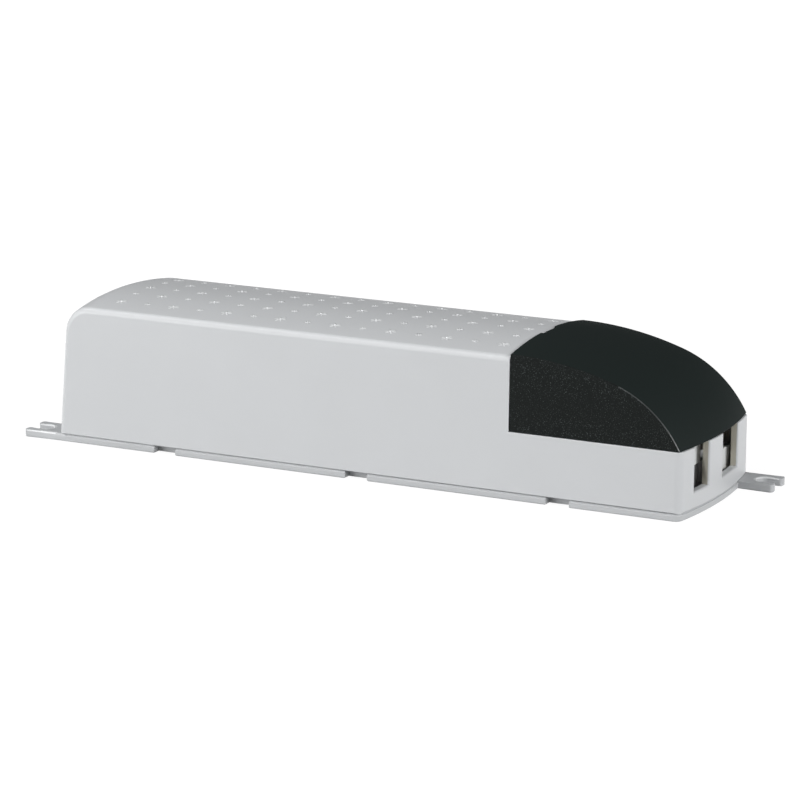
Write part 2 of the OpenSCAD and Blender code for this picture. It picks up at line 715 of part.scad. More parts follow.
// Brass cages open towards the cord, with a thicker roof for the screw's thread
module terminal_cages(poles, pitch) {
    w = pitch - 2 * block_wall - fit_gap;
    for (y = poles) difference() {
        slab(terminal_x + block_back + fit_gap, terminal_x + terminal_d - 1, y - w / 2, y + w / 2,
            cage_z, cage_z + cage_h);
        slab(terminal_x, far, y - w / 2 + cage_t, y + w / 2 - cage_t,
            cage_z + cage_t, cage_z + cage_h - cage_roof);
        rod(terminal_screw_x, y, cage_z + cage_t, far, terminal_screw_d + 2 * fit_gap);
    }
}

module terminal_screws(poles) {
    for (y = poles) translate([terminal_screw_x, y, cage_z + cage_h]) difference() {
        union() {
            cylinder(d = terminal_head_d, h = terminal_head_h);
            translate([0, 0, -cage_h + 2 * cage_t]) cylinder(d = terminal_screw_d, h = cage_h - 2 * cage_t);
        }
        translate([-far / 2, -recess_w / 2, terminal_head_h - recess_depth]) cube([far, recess_w, far]);
    }
}

module mains_terminal_block() {
    color("whitesmoke") terminal_block(mains_pole_y, mains_pitch);
}

module mains_terminal_cages() {
    color("goldenrod") terminal_cages(mains_pole_y, mains_pitch);
}

module mains_terminal_screws() {
    color("silver") terminal_screws(mains_pole_y);
}

module lamp_terminal_block() {
    color("whitesmoke") terminal_block(lamp_pole_y, lamp_pitch);
}

module lamp_terminal_cages() {
    color("goldenrod") terminal_cages(lamp_pole_y, lamp_pitch);
}

module lamp_terminal_screws() {
    color("silver") terminal_screws(lamp_pole_y);
}

// Cord clamps

// Bar with rounded corners and its two screw heads sunk in
module clamp_bar(y, reach, low, places) {
    r = clamp_w / 3;
    x0 = clamp_x - clamp_w / 2;
    x1 = clamp_x + clamp_w / 2;
    difference() {
        union() {
            slab(x0, x1, y - reach + r, y + reach - r, low, low + clamp_t);
            slab(x0 + r, x1 - r, y - reach, y + reach, low, low + clamp_t);
            for (x = [x0 + r, x1 - r]) for (t = [-1, 1])
                rod(x, y + t * (reach - r), low, low + clamp_t, 2 * r);
        }
        for (p = places) {
            rod(p[0], p[1], low - 1, far, clamp_screw_d + 2 * fit_gap);
            rod(p[0], p[1], low + clamp_t - clamp_head_h, far, clamp_head_d + 2 * fit_gap);
        }
    }
}

module mains_clamp_bar() {
    color("whitesmoke") clamp_bar(-mains_entry_y, mains_reach, mains_bar_z, mains_clamp_places);
}

module lamp_clamp_bar() {
    color("whitesmoke") clamp_bar(lamp_entry_y, lamp_reach, lamp_bar_z, lamp_clamp_places);
}

module mains_clamp_pillars() {
    color("dimgray") for (p = mains_clamp_places) difference() {
        rod(p[0], p[1], mains_boss_z, mains_bar_z, pillar_d);
        rod(p[0], p[1], 0, far, clamp_screw_d + 2 * fit_gap);
    }
}

module cord_clamp_screws() {
    color("silver") {
        for (p = mains_clamp_places) translate([p[0], p[1], mains_bar_z + clamp_t - clamp_head_h])
            screw(clamp_screw_d, clamp_head_d, clamp_head_h, mains_bar_z + clamp_t - clamp_head_h - base_t);
        for (p = lamp_clamp_places) translate([p[0], p[1], lamp_bar_z + clamp_t - clamp_head_h])
            screw(clamp_screw_d, clamp_head_d, clamp_head_h, lamp_bar_z + clamp_t - clamp_head_h - base_t);
    }
}

// Mains filter

module fuse_tube() {
    color("azure", 0.5) translate([fuse_x, 0, fuse_z]) rotate([90, 0, 0]) difference() {
        cylinder(d = fuse_d, h = fuse_l - 2 * fuse_cap_l, center = true);
        cylinder(d = fuse_d - 1.4, h = fuse_l, center = true);
    }
}

module fuse_caps() {
    color("silver") both_sides() translate([fuse_x, fuse_l / 2, fuse_z]) rotate([90, 0, 0])
        cylinder(d = fuse_d, h = fuse_cap_l);
}

module fuse_clips() {
    r = fuse_d / 2 + fit_gap;
    y0 = fuse_clip_y - clip_l / 2;
    y1 = fuse_clip_y + clip_l / 2;
    color("gold") {
        both_sides() difference() {
            union() {
                translate([fuse_x, y1, fuse_z]) rotate([90, 0, 0]) cylinder(r = r + clip_t, h = clip_l);
                slab(fuse_x - r, fuse_x + r, y0, y1, board_top, board_top + clip_t);
                slab(fuse_x - clip_t, fuse_x + clip_t, y0, y1, board_top, fuse_z - r);
            }
            translate([fuse_x, y1 + 1, fuse_z]) rotate([90, 0, 0]) cylinder(r = r, h = clip_l + 2);
            slab(fuse_x - r * 0.8, fuse_x + r * 0.8, y0 - 1, y1 + 1, fuse_z, far);
        }
        leads(fuse_leads, board_top + clip_t / 2);
    }
}

module varistor() {
    color("royalblue") {
        translate([choke_x - varistor_t / 2, varistor_y, board_top + 1 + varistor_d / 2]) rotate([0, 90, 0])
            cylinder(d = varistor_d, h = varistor_t);
        leads(varistor_leads, board_top + varistor_d / 3);
    }
}

// A ring of rectangular section
module ring(outer, bore, h) {
    difference() {
        cylinder(d = outer, h = h);
        translate([0, 0, -1]) cylinder(d = bore, h = h + 2);
    }
}

// Winding wrapped closely round a ring, over part of its turn
module winding(outer, bore, h, t, start, turn) {
    w = (outer - bore) / 2;
    rotate([0, 0, start]) rotate_extrude(angle = turn) difference() {
        translate([bore / 2 - t, -t]) square([w + 2 * t, h + 2 * t]);
        translate([bore / 2 - core_gap, -core_gap]) square([w + 2 * core_gap, h + 2 * core_gap]);
    }
}

module choke_core() {
    color("olivedrab") translate([choke_x, choke_y, board_top + choke_over])
        ring(choke_d, choke_bore, choke_h);
}

module choke_windings() {
    color("chocolate") {
        translate([choke_x, choke_y, board_top + choke_over])
            for (a = [20, 200]) winding(choke_d, choke_bore, choke_h, choke_over, a, 140);
        leads(choke_leads, board_top + choke_over + 1);
    }
}

module filter_capacitor() {
    color("khaki") box_capacitor(filter_x, filter_y, filter_cap_l, filter_cap_w, filter_cap_h, filter_leads);
}

// Film capacitor in a box, standing on four small feet
module box_capacitor(x, y, l, w, h, places) {
    slab(x - l / 2, x + l / 2, y - w / 2, y + w / 2, board_top + foot_h, board_top + h);
    for (s = [-1, 1]) for (t = [-1, 1])
        translate([x + s * (l / 2 - 1), y + t * (w / 2 - 1), board_top + foot_h])
            cube([1, 1, 2 * foot_h], center = true);
    leads(places, board_top + 1);
}

module bridge_rectifier() {
    color("dimgray") difference() {
        union() {
            slab(filter_x - rectifier_l / 2, filter_x + rectifier_l / 2, rectifier_y - rectifier_w / 2,
                rectifier_y + rectifier_w / 2, board_top + 2, board_top + 2 + rectifier_h);
            leads(rectifier_leads, board_top + 3);
        }
        translate([filter_x + rectifier_l / 2, 0, board_top + 2 + rectifier_h]) rotate([0, 45, 0])
            cube([2, board_w, 2], center = true);
    }
}

module start_capacitor() {
    color("midnightblue") {
        difference() {
            rod(filter_x - 3.5, start_y, board_top + 0.2, board_top + start_cap_h, start_cap_d);
            translate([filter_x - 3.5, start_y, board_top + 1.6]) rotate_extrude()
                translate([start_cap_d / 2 + 0.3, 0]) circle(r = 0.6);
        }
        leads(start_cap_leads, board_top + 1);
    }
}

// Resistor lying on the board between its two bent leads
module resistor(x, y, turn) {
    translate([x, y, resistor_z]) rotate([0, 0, turn]) {
        rotate([0, 90, 0]) {
            cylinder(d = resistor_d - 0.6, h = resistor_l, center = true);
            for (s = [-1, 1]) translate([0, 0, s * (resistor_l / 2 - 1)])
                cylinder(d = resistor_d, h = 2, center = true);
            cylinder(d = lead_d, h = resistor_span + lead_d, center = true);
        }
    }
}

module start_resistors() {
    color("burlywood") {
        for (x = start_resistor_x) resistor(x, start_y, 90);
        leads(start_resistor_leads, resistor_z);
    }
}

module base_resistors() {
    color("burlywood") {
        for (y = base_resistor_y) resistor(base_resistor_x, y, 0);
        leads(base_resistor_leads, resistor_z);
    }
}

// Inverter

module trigger_diode() {
    color("steelblue") {
        translate([base_resistor_x, diac_y, board_top + 1]) rotate([0, 90, 0]) {
            cylinder(d = 2, h = 4, center = true);
            cylinder(d = lead_d, h = 8 + lead_d, center = true);
        }
        leads(diac_leads, board_top + 1);
    }
}

module drive_core() {
    color("seagreen") translate([drive_x, drive_y, board_top + drive_over])
        ring(drive_d, drive_bore, drive_h);
}

module drive_windings() {
    color("chocolate") {
        translate([drive_x, drive_y, board_top + drive_over])
            for (a = [0, 120, 240]) winding(drive_d, drive_bore, drive_h, drive_over, a + 10, 80);
        leads(drive_leads, board_top + drive_over + 1);
    }
}

// Power transistor standing with its tab against the heat sink
module transistor(x) {
    low = board_top + leg_h;
    color("dimgray") slab(x - transistor_w / 2, x + transistor_w / 2, transistor_face - transistor_t,
        transistor_face - tab_t_metal, low, low + transistor_body_h);
    color("silver") {
        difference() {
            slab(x - transistor_w / 2, x + transistor_w / 2, transistor_face - tab_t_metal, transistor_face,
                low, low + transistor_body_h + transistor_tab_h);
            tab_bore(x, tab_hole_d);
        }
        for (k = [-1, 0, 1]) {
            slab(x + k * leg_pitch - 0.6, x + k * leg_pitch + 0.6, transistor_face - leg_back - 0.3,
                transistor_face - leg_back + 0.3, board_top + 1.5, low + 1);
            rod(x + k * leg_pitch, transistor_face - leg_back, board_z - lead_tail, board_top + 2, lead_d);
        }
    }
}

// Round cut through the tabs, pads and heat sink
module tab_bore(x, d) {
    translate([x, 0, tab_hole_z]) rotate([90, 0, 0]) cylinder(d = d, h = far, center = true);
}

module transistor_a() {
    transistor(transistor_x[0]);
}

module transistor_b() {
    transistor(transistor_x[1]);
}

module transistor_pads() {
    color("lightpink") for (x = transistor_x) difference() {
        slab(x - transistor_w / 2 - 0.8, x + transistor_w / 2 + 0.8, transistor_face, transistor_face + pad_t,
            board_top + leg_h - 1, board_top + leg_h + transistor_body_h + transistor_tab_h + 0.8);
        tab_bore(x, tab_hole_d);
    }
}

module transistor_screws() {
    grip = tab_t_metal + pad_t + sink_t + 2;
    color("silver") for (x = transistor_x) translate([x, transistor_face - tab_t_metal, tab_hole_z])
        rotate([90, 0, 0]) screw(tab_screw_d, tab_screw_d * 1.8, tab_screw_d * 0.6, grip);
}

// Aluminium angle with its foot on the board
module heat_sink() {
    x0 = power_x - sink_l / 2;
    color("silver") difference() {
        union() {
            slab(x0, x0 + sink_l, sink_y - sink_t, sink_y, board_top, board_top + sink_h);
            slab(x0, x0 + sink_l, sink_y - sink_t / 2, sink_y + sink_foot, board_top, board_top + sink_t);
        }
        for (x = transistor_x) tab_bore(x, tab_screw_d + 2 * fit_gap);
    }
}

module bridge_capacitor(k) {
    color("firebrick") box_capacitor(bridge_cap_x[k], bridge_cap_y, bridge_cap_l, bridge_cap_w, bridge_cap_h,
        [bridge_cap_leads[2 * k], bridge_cap_leads[2 * k + 1]]);
}

module bridge_capacitor_a() {
    bridge_capacitor(0);
}

module bridge_capacitor_b() {
    bridge_capacitor(1);
}

// Output transformer

module thermal_cutout() {
    color("black") {
        slab(cutout_x - 2.5, cutout_x + 2.5, cutout_y - 1.5, cutout_y + 1.5, board_top + 1, board_top + 9);
        leads(cutout_leads, board_top + 2);
    }
}

// Moulded cradle that carries the wound ring on its hub
module core_cradle() {
    color("whitesmoke") translate([output_x, 0, board_top]) {
        difference() {
            cylinder(d = core_d + primary_t, h = cradle_t);
            for (p = primary_leads) translate([p[0] - output_x, p[1], -1])
                cylinder(d = 2 * lead_d, h = cradle_t + 2);
        }
        cylinder(d = core_bore - 2 * ring_over - 1, h = cradle_t + core_h);
    }
}

module output_core() {
    color("darkslategray") translate([output_x, 0, core_z]) ring(core_d, core_bore, core_h);
}

module primary_winding() {
    color("chocolate") {
        translate([output_x, 0, core_z])
            winding(core_d, core_bore, core_h, primary_t, primary_a[1] - end_lap, primary_turn);
        leads(primary_leads, core_z);
    }
}

// Thick turns round the primary winding; the first and the last run down into the board
module secondary_winding() {
    color("orangered") for (k = [0 : secondary_turns - 1]) translate([output_x, 0, core_z + core_h / 2])
        rotate([0, 0, 2 * lead_angle * (k + 0.5)]) translate([(core_d + core_bore) / 4, 0, 0])
            turn_loop(k == 0 || k == secondary_turns - 1);
}

// One turn of round wire with bent corners, or an end turn whose outer side runs down
module turn_loop(is_end) {
    r = secondary_d / 2;
    x = turn_w / 2 - turn_bend;
    z = turn_h / 2 - turn_bend;
    foot = is_end ? core_z + core_h / 2 - board_z + lead_tail : z;
    translate([turn_w / 2, 0, -foot]) cylinder(r = r, h = z + foot);
    translate([-turn_w / 2, 0, -z]) cylinder(r = r, h = 2 * z);
    for (s = [-1, 1]) translate([-x, 0, s * turn_h / 2]) rotate([0, 90, 0]) cylinder(r = r, h = 2 * x);
    for (a = is_end ? [0, 90, 180] : [0, 90, 180, 270])
        translate([x * (a == 0 || a == 270 ? 1 : -1), 0, z * (a < 180 ? 1 : -1)]) rotate([90, 0, 0])
            rotate([0, 0, a]) rotate_extrude(angle = 90) translate([turn_bend, 0]) circle(r = r);
}

housing();
base_plate();
terminal_cover();
circuit_board();
board_screws();
insulating_sheet();
mains_terminal_block();
mains_terminal_cages();
mains_terminal_screws();
lamp_terminal_block();
lamp_terminal_cages();
lamp_terminal_screws();
mains_clamp_bar();
mains_clamp_pillars();
lamp_clamp_bar();
cord_clamp_screws();
fuse_tube();
fuse_caps();
fuse_clips();
varistor();
choke_core();
choke_windings();
filter_capacitor();
bridge_rectifier();
start_capacitor();
start_resistors();
trigger_diode();
drive_core();
drive_windings();
transistor_a();
transistor_b();
transistor_pads();
transistor_screws();
heat_sink();
base_resistors();
bridge_capacitor_a();
bridge_capacitor_b();
thermal_cutout();
output_core();
core_cradle();
primary_winding();
secondary_winding();
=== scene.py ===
# %% [markdown]
# # Electronic transformer for halogen lamps
#
# The real object is a long silver-grey moulded housing with a crowned top, raised stars along it, and a
# near-black clip-on cover over the terminals. It stands on a base plate with two slotted lugs.
#
# Its solids come packed from the CAD source and are the fixed frame: they give every size and place. This
# script gives them their edges, their finishes, the studio and the camera. Each step says what the piece
# is, how it could be made, and why it is made this way.

import math

import bmesh
import bpy
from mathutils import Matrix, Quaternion, Vector
from mathutils.bvhtree import BVHTree


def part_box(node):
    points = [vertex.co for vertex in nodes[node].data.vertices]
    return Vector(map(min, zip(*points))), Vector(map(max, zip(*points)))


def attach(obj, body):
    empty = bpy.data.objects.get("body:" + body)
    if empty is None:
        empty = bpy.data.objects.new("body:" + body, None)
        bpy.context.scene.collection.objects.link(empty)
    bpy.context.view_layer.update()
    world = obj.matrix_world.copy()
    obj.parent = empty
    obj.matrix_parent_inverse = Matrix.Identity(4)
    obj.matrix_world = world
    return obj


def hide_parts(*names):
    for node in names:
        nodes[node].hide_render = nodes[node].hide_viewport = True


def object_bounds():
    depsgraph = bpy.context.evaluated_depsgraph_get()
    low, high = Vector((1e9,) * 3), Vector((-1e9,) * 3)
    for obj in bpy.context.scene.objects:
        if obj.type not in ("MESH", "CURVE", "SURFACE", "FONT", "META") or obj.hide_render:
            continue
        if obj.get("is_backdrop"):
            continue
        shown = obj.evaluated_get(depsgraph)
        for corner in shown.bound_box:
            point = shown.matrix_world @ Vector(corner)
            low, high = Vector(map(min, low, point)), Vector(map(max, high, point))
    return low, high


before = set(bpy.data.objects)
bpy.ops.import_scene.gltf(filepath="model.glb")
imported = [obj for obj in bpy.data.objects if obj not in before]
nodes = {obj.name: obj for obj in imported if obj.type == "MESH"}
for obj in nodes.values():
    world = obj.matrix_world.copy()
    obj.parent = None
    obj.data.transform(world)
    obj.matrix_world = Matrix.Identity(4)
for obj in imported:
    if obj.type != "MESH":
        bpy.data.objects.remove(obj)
cad_low, cad_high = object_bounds()
scene = bpy.context.scene
MM = 0.001


def report(label, low, high):
    """Prints a box in millimetres."""
    print(label, [round(v / MM, 1) for v in low], "to", [round(v / MM, 1) for v in high])


report("solids " + str(len(nodes)), cad_low, cad_high)

# %% [markdown]
# ## Camera
#
# The photograph was taken with a long lens, from the cord end's side and a little above the top. Place,
# aim and lens come from matching the housing's corners, the seam, the notches and the lugs to the picture.
# A long lens keeps the long edges nearly parallel. A slight roll levels it as the photographer had it.

# %% Place the camera
CAMERA_PLACE = Vector((394.09, -811.30, 233.14)) * MM
CAMERA_AIM = Vector((-0.8, 3.7, 15.4)) * MM
CAMERA_LENS = 157.7
CAMERA_ROLL = math.radians(0.45)
SENSOR_WIDTH = 36

camera_data = bpy.data.cameras.new("camera")
camera_data.lens = CAMERA_LENS
camera_data.sensor_width = SENSOR_WIDTH
camera = bpy.data.objects.new("camera", camera_data)
camera.location = CAMERA_PLACE
camera.rotation_mode = "QUATERNION"
aim = (CAMERA_AIM - CAMERA_PLACE).to_track_quat("-Z", "Y")
camera.rotation_quaternion = aim @ Quaternion((0, 0, 1), CAMERA_ROLL)
scene.collection.objects.link(camera)
scene.camera = camera
print("camera distance in mm", round((CAMERA_AIM - CAMERA_PLACE).length / MM))

# %% [markdown]
# ## Nodes and colours
#
# A finish is a small tree of shader nodes. One helper adds a node with its settings and its links, so that
# each tree reads from top to bottom. Colours are written as they look on a screen, in sRGB hex, and one
# function turns them into the linear light that the renderer works in. Some nodes come up in tree after
# tree, so helpers of their own add them and return their result: a sum, noise, a spread, a blend, relief.


# %% Helpers for finishes
def linear(colour):
    """An sRGB hex colour as linear RGBA."""
    parts = [int(colour[k : k + 2], 16) / 255 for k in (1, 3, 5)]
    light = [c / 12.92 if c <= 0.04045 else ((c + 0.055) / 1.055) ** 2.4 for c in parts]
    return (*light, 1.0)


def add(tree, kind, values=None, links=None):
    """Adds a node. Values set its properties or its inputs, and links join sockets to its inputs."""
    node = tree.nodes.new(kind)
    for name, value in (values or {}).items():
        if isinstance(name, int) or name in node.inputs:
            node.inputs[name].default_value = value
        else:
            setattr(node, name, value)
    for name, socket in (links or {}).items():
        tree.links.new(socket, node.inputs[name])
    return node


def new_material(name):
    """An empty material, its tree, and the place of each point on the piece itself."""
    material = bpy.data.materials.new(name)
    material.use_nodes = True
    material.node_tree.nodes.clear()
    print("finish:", name)
    place = add(material.node_tree, "ShaderNodeTexCoord").outputs["Object"]
    return material, material.node_tree, place


def finish_with(tree, shader):
    """Joins a shader to the material's output."""
    add(tree, "ShaderNodeOutputMaterial", links={"Surface": shader.outputs[0]})


print("light grey #cccccc is", [round(v, 3) for v in linear("#cccccc")[:3]])


# %% Helpers for nodes that many trees need
def maths(tree, operation, *terms):
    """The result of a Math node. Each term is a number or a socket."""
    numbers = {k: term for k, term in enumerate(terms) if isinstance(term, (int, float))}
    sockets = {k: term for k, term in enumerate(terms) if k not in numbers}
    return add(tree, "ShaderNodeMath", {"operation": operation, **numbers}, sockets).outputs[0]


def noise(tree, place, size, detail, roughness=0.5):
    """Noise from 0 to 1, with blotches of this size in millimetres."""
    values = {"Scale": 1 / (size * MM), "Detail": detail, "Roughness": roughness}
    return add(tree, "ShaderNodeTexNoise", values, {"Vector": place}).outputs["Fac"]


def vary(tree, middle, spread, value):
    """Turns a value from 0 to 1 into one that lies up to a spread below or above the middle."""
    values = {"To Min": middle - spread, "To Max": middle + spread}
    return add(tree, "ShaderNodeMapRange", values, {"Value": value}).outputs["Result"]


def blend(tree, first, second, share):
    """A colour between two, by the share of the second."""
    values = {"data_type": "RGBA", 6: first, 7: second}
    return add(tree, "ShaderNodeMix", values, {0: share}).outputs[2]


def bump(tree, depth, height, strength=1.0):
    """The normal on a relief of a height from 0 to 1, with its depth in millimetres."""
    values = {"Strength": strength, "Distance": depth * MM}
    return add(tree, "ShaderNodeBump", values, {"Height": height}).outputs["Normal"]


# %% [markdown]
# ## Moulded plastic
#
# The shells are injection moulded ABS. The steel mould leaves a fine grain that softens the shine, and the
# pigment is not quite even. Both could be painted as pictures, but noise on the piece's own coordinates
# needs no picture, never stretches, and its scale is a real size in millimetres.
#
# The same recipe, with its own colour, grain and shine, serves every plainly moulded piece. A real mould
# grain is about 0.1 mm wide, and a pixel of the picture is about a quarter of a millimetre, so the grain is
# drawn coarser, as wide as it needs to show.

# %% Recipe for moulded plastic
# The pigment drifts over this many millimetres, and the grain changes the roughness by this much.
MOTTLE_SIZE = 25.0
SHINE_SPREAD = 0.05


def moulded(name, colour, roughness, grain, relief, mottle=0.03, specular=0.5):
    """Moulded plastic: grain and relief are in millimetres, mottle is a share of the colour."""
    material, tree, place = new_material(name)
    fine = noise(tree, place, grain, 2.0, 0.6)
    broad = noise(tree, place, MOTTLE_SIZE, 3.0)
    shade = [c * (1 - mottle) for c in linear(colour)[:3]] + [1]
    tint = [min(c * (1 + mottle), 1) for c in linear(colour)[:3]] + [1]
    plastic = add(
        tree,
        "ShaderNodeBsdfPrincipled",
        {"IOR": 1.54, "Specular IOR Level": specular},
        {
            "Base Color": blend(tree, shade, tint, broad),
            "Roughness": vary(tree, roughness, SHINE_SPREAD, fine),
            "Normal": bump(tree, relief, fine),
        },
    )
    finish_with(tree, plastic)
    return material


# The fine grain breaks up mirror images and leaves a soft, even sheen.
housing_abs = moulded("ABS silver grey, fine grain", "#c9cbcd", 0.38, 0.35, 0.003)
# The plate is a shade darker and duller than the housing.
plate_abs = moulded("ABS silver grey, base plate", "#bcbec0", 0.42, 0.35, 0.004)
# The lugs' tops are a little smoother than the plate, and painted much lighter than it: painted light and
# highlight.
lug_tops_painted_light = moulded("ABS silver grey, lug tops, painted light", "#dcdedf", 0.3, 0.3, 0.001)
# Plastic that was never textured looks warmer and flatter, a cream that shows in the cord entries.
inner_abs = moulded("ABS cream, inside and reveals", "#c4c0b2", 0.5, 0.4, 0.004)
# Polyamide is pale and a little waxy, with hardly any gloss.
bar_polyamide = moulded("polyamide light grey, moulded", "#d4d6d6", 0.5, 0.3, 0.005)

# %% [markdown]
# ## Working copies of the shells
#
# A CAD solid comes as loose triangles with knife-sharp edges. On the real mouldings each outer edge is
# broken by a small radius, and that radius catches a line of light. A Bevel modifier would round every
# edge, also those deep inside, so the edges are chosen first: a copy of the solid is merged and its flat
# faces are joined, then each sharp outer edge gets a width of its own. The copy is shown in the solid's
# place, and the solid stays in the scene, hidden. The copy stands for the solid, which stays in the frame
# for collision.
#
# A bevel has two traps. A CAD mesh has slivers where its faces meet, triangles almost without area, and
# their edges look sharp though the surface is smooth, so they are passed over. And where bevels meet, a
# corner can be thrown off the surface, so each stray corner is put back on the skin of the shell.
#
# Shading needs care too. Plain smooth shading bends the light on a large flat face beside each rounded
# edge, so the normals are weighted by area and the large faces keep theirs. Curved faces are made of long
# thin facets, and on those such normals would draw streaks. Where the surface is known by its formula, its
# normals are set from the formula.

# %% Copy, round and smooth
# Corners closer than this in millimetres are merged, and faces that turn by less than this are joined.
MERGE = 0.0002
FLAT = math.radians(0.2)
# An edge is sharp from this angle on, and a face under this many square millimetres is a sliver.
SHARP = math.radians(35)
SLIVER = 0.002
# A corner is a stray when it is off the skin by more than this share of the bevel's width.
STRAY = 0.45
# From this width in millimetres on, a rounded edge gets more facets.
WIDE_EDGE = 0.5
# A normal from a formula counts only where it nearly agrees with the facet's own.
SAME_WAY = math.radians(12)


def open_shell(node):
    """A copy of a CAD node with its triangles merged."""
    shell = bmesh.new()
    shell.from_mesh(nodes[node].data)
    bmesh.ops.remove_doubles(shell, verts=shell.verts, dist=MERGE * MM)
    return shell


def join_flats(shell):
    """Joins the triangles of each flat face."""
    bmesh.ops.dissolve_limit(shell, angle_limit=FLAT, verts=shell.verts, edges=shell.edges)


def settle(shell, skin, width):
    """Puts corners that a bevel threw off by a good share of its width back on the skin."""
    strays = 0
    for vert in shell.verts:
        spot, _, _, gap = skin.find_nearest(vert.co)
        if gap > STRAY * width * MM:
            vert.co = spot
            strays += 1
    return strays


def is_sharp(edge):
    """True for a sharp outer edge between two real faces, not beside a sliver."""
    if len(edge.link_faces) != 2 or not edge.is_convex or edge.calc_face_angle(0) < SHARP:
        return False
    return min(face.calc_area() for face in edge.link_faces) > SLIVER * MM**2


def round_edges(shell, width_of):
    """Rounds sharp outer edges by the width in millimetres that their two ends give."""
    skin = BVHTree.FromBMesh(shell)
    chosen = {}
    for edge in shell.edges:
        if is_sharp(edge):
            width = width_of(edge.verts[0].co / MM, edge.verts[1].co / MM)
            if width:
                chosen.setdefault(width, []).append(edge)
    for width in sorted(chosen, reverse=True):
        edges = [edge for edge in chosen[width] if edge.is_valid]
        bmesh.ops.bevel(
            shell,
            geom=edges,
            offset=width * MM,
            segments=3 if width < WIDE_EDGE else 5,
            profile=0.5,
            affect="EDGES",
            clamp_overlap=False,
        )
        strays = settle(shell, skin, width)
        print("edges rounded by", width, "mm:", len(edges), "strays put back:", strays)


# %% Shade the closed shell
def close_shell(shell, name, true_normal=None):
    """A smooth-shaded piece: large faces keep their normals, and a formula sets those it knows."""
    bmesh.ops.recalc_face_normals(shell, faces=shell.faces)
    mesh = bpy.data.meshes.new(name)
    shell.to_mesh(mesh)
    shell.free()
    mesh.shade_smooth()
    mesh.set_sharp_from_angle(angle=SHARP)
    piece = bpy.data.objects.new(name, mesh)
    scene.collection.objects.link(piece)
    weigh = piece.modifiers.new("weigh", "WEIGHTED_NORMAL")
    weigh.keep_sharp = True
    weigh.weight = 100
    graph = bpy.context.evaluated_depsgraph_get()
    weighed = bpy.data.meshes.new_from_object(piece.evaluated_get(graph), depsgraph=graph)
    piece.modifiers.clear()
    piece.data = weighed
    bpy.data.meshes.remove(mesh)
    weighed.name = name
    normals = [Vector(corner.vector) for corner in weighed.corner_normals]
    known = 0
    for face in weighed.polygons if true_normal else ():
        for k in face.loop_indices:
            wanted = true_normal(weighed.vertices[weighed.loops[k].vertex_index].co / MM)
            if wanted and wanted.angle(face.normal) < SAME_WAY:
                normals[k] = wanted
                known += 1
    weighed.normals_split_custom_set(normals)
    print(name, "faces", len(weighed.polygons), "normals by formula", known, "of", len(normals))
    return piece


# %% [markdown]
# ## Housing
#
# One moulded shell. Its outer edges are the parting line at the foot, the seam and the ledge under the
# cover, and the frames of the cord entries. They are found by where they lie on the outer skin. The entries
# are rounded first and most, so that no cord chafes there, and the ledge's edges end at that rounding. The
# foot's outer edge is lifted a little: two real mouldings never close fully, and leave a thin dark line.
#
# The solid carries the stars as flat plateaus. They are lifted off here and the crown is closed again, so
# that rounder stars can be laid on it below. Faces that look into the wiring space, and the sides of the
# entries, have the warmer cream of plastic that was never textured, so they get a second finish.

# %% Sizes of the shells in millimetres
plate_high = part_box("base_plate")[1] / MM
cover_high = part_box("terminal_cover")[1] / MM
BODY_H = 39.4
HALF_L = 90.0
HALF_W = plate_high.y
PLATE_T = 2.0
SIDE_DRAFT = math.radians(0.8)
# The crown is an arc from side to side, straight along the part as far as the closed end's turn. The cord
# end bows out by the same arc, between its rounded corners.
CROWN_RISE = 2.14
CROWN_R = (HALF_W**2 + CROWN_RISE**2) / (2 * CROWN_RISE)
CLOSED_TURN_X = -80.4
BOW_HALF_W = 21.0
END_FROM_X = HALF_L - 2
# The cover meets the housing at the seam and rests on the ledge. Each cord entry spans two places across.
SEAM_X = 43.0
LEDGE_Z = 17.8
ENTRIES = ((-16.6, -8.3), (0.4, 12.9))
SILL_Z = 6.3
# A point less deep than the first is on the outer skin, and one deeper than the second is inside.
SKIN_DEPTH = 0.6
INSIDE_DEPTH = 1.5
# Two places closer than the first are one, and an edge shorter than the second stays as it is.
TOUCH = 0.05
SHORT_EDGE = 0.2
# A point this near to the crown or to the bowed end lies on it.
ON_CROWN = 0.03
ON_BOW = 0.3


def skin_gap(p):
    """How far a point lies inside the housing's outer side or bowed cord end, in millimetres."""
    side = HALF_W - p.z * math.tan(SIDE_DRAFT) - abs(p.y)
    end = HALF_L + CROWN_RISE - CROWN_R + math.sqrt(CROWN_R**2 - p.y**2) - p.x
    return min(side, end)


def crown_lift(p):
    """Height of a point above the housing's crown, in millimetres."""
    return math.hypot(p.y, p.z - BODY_H + CROWN_R) - CROWN_R


def housing_normal(p):
    """Normal of the crown or of the bowed cord end at a point, or None away from both."""
    if p.x > CLOSED_TURN_X - TOUCH and abs(crown_lift(p)) < ON_CROWN:
        return Vector((0, p.y, p.z - BODY_H + CROWN_R)).normalized()
    bow = Vector((p.x - HALF_L - CROWN_RISE + CROWN_R, p.y, 0))
    at_end = p.x > END_FROM_X and abs(p.y) < BOW_HALF_W
    on_bow = at_end and abs(bow.length - CROWN_R) < ON_BOW
    return bow.normalized() if on_bow else None


print("radius of the crown in mm", round(CROWN_R, 1))

# %% Lift off the flat stars and round the edges
ENTRY_ROUND = 0.55
EDGE_ROUND = 0.25
FOOT_ROUND = 0.12
FOOT_GAP = 0.2
# A corner higher than this above the crown is part of a star.
RAISED = 0.1
# A corner is at the foot within the first of the parting line. It is on the foot's outer edge within the
# second of the skin, or beyond the third at the closed end.
AT_FOOT = 0.02
OUTERMOST = 0.1
CLOSED_FOOT_X = 0.3 - HALF_L
# Edges up to the ledge lie under the first, and those of the seam beyond the second.
LEDGE_TO_Z = LEDGE_Z + 0.1
SEAM_FROM_X = SEAM_X - 0.3


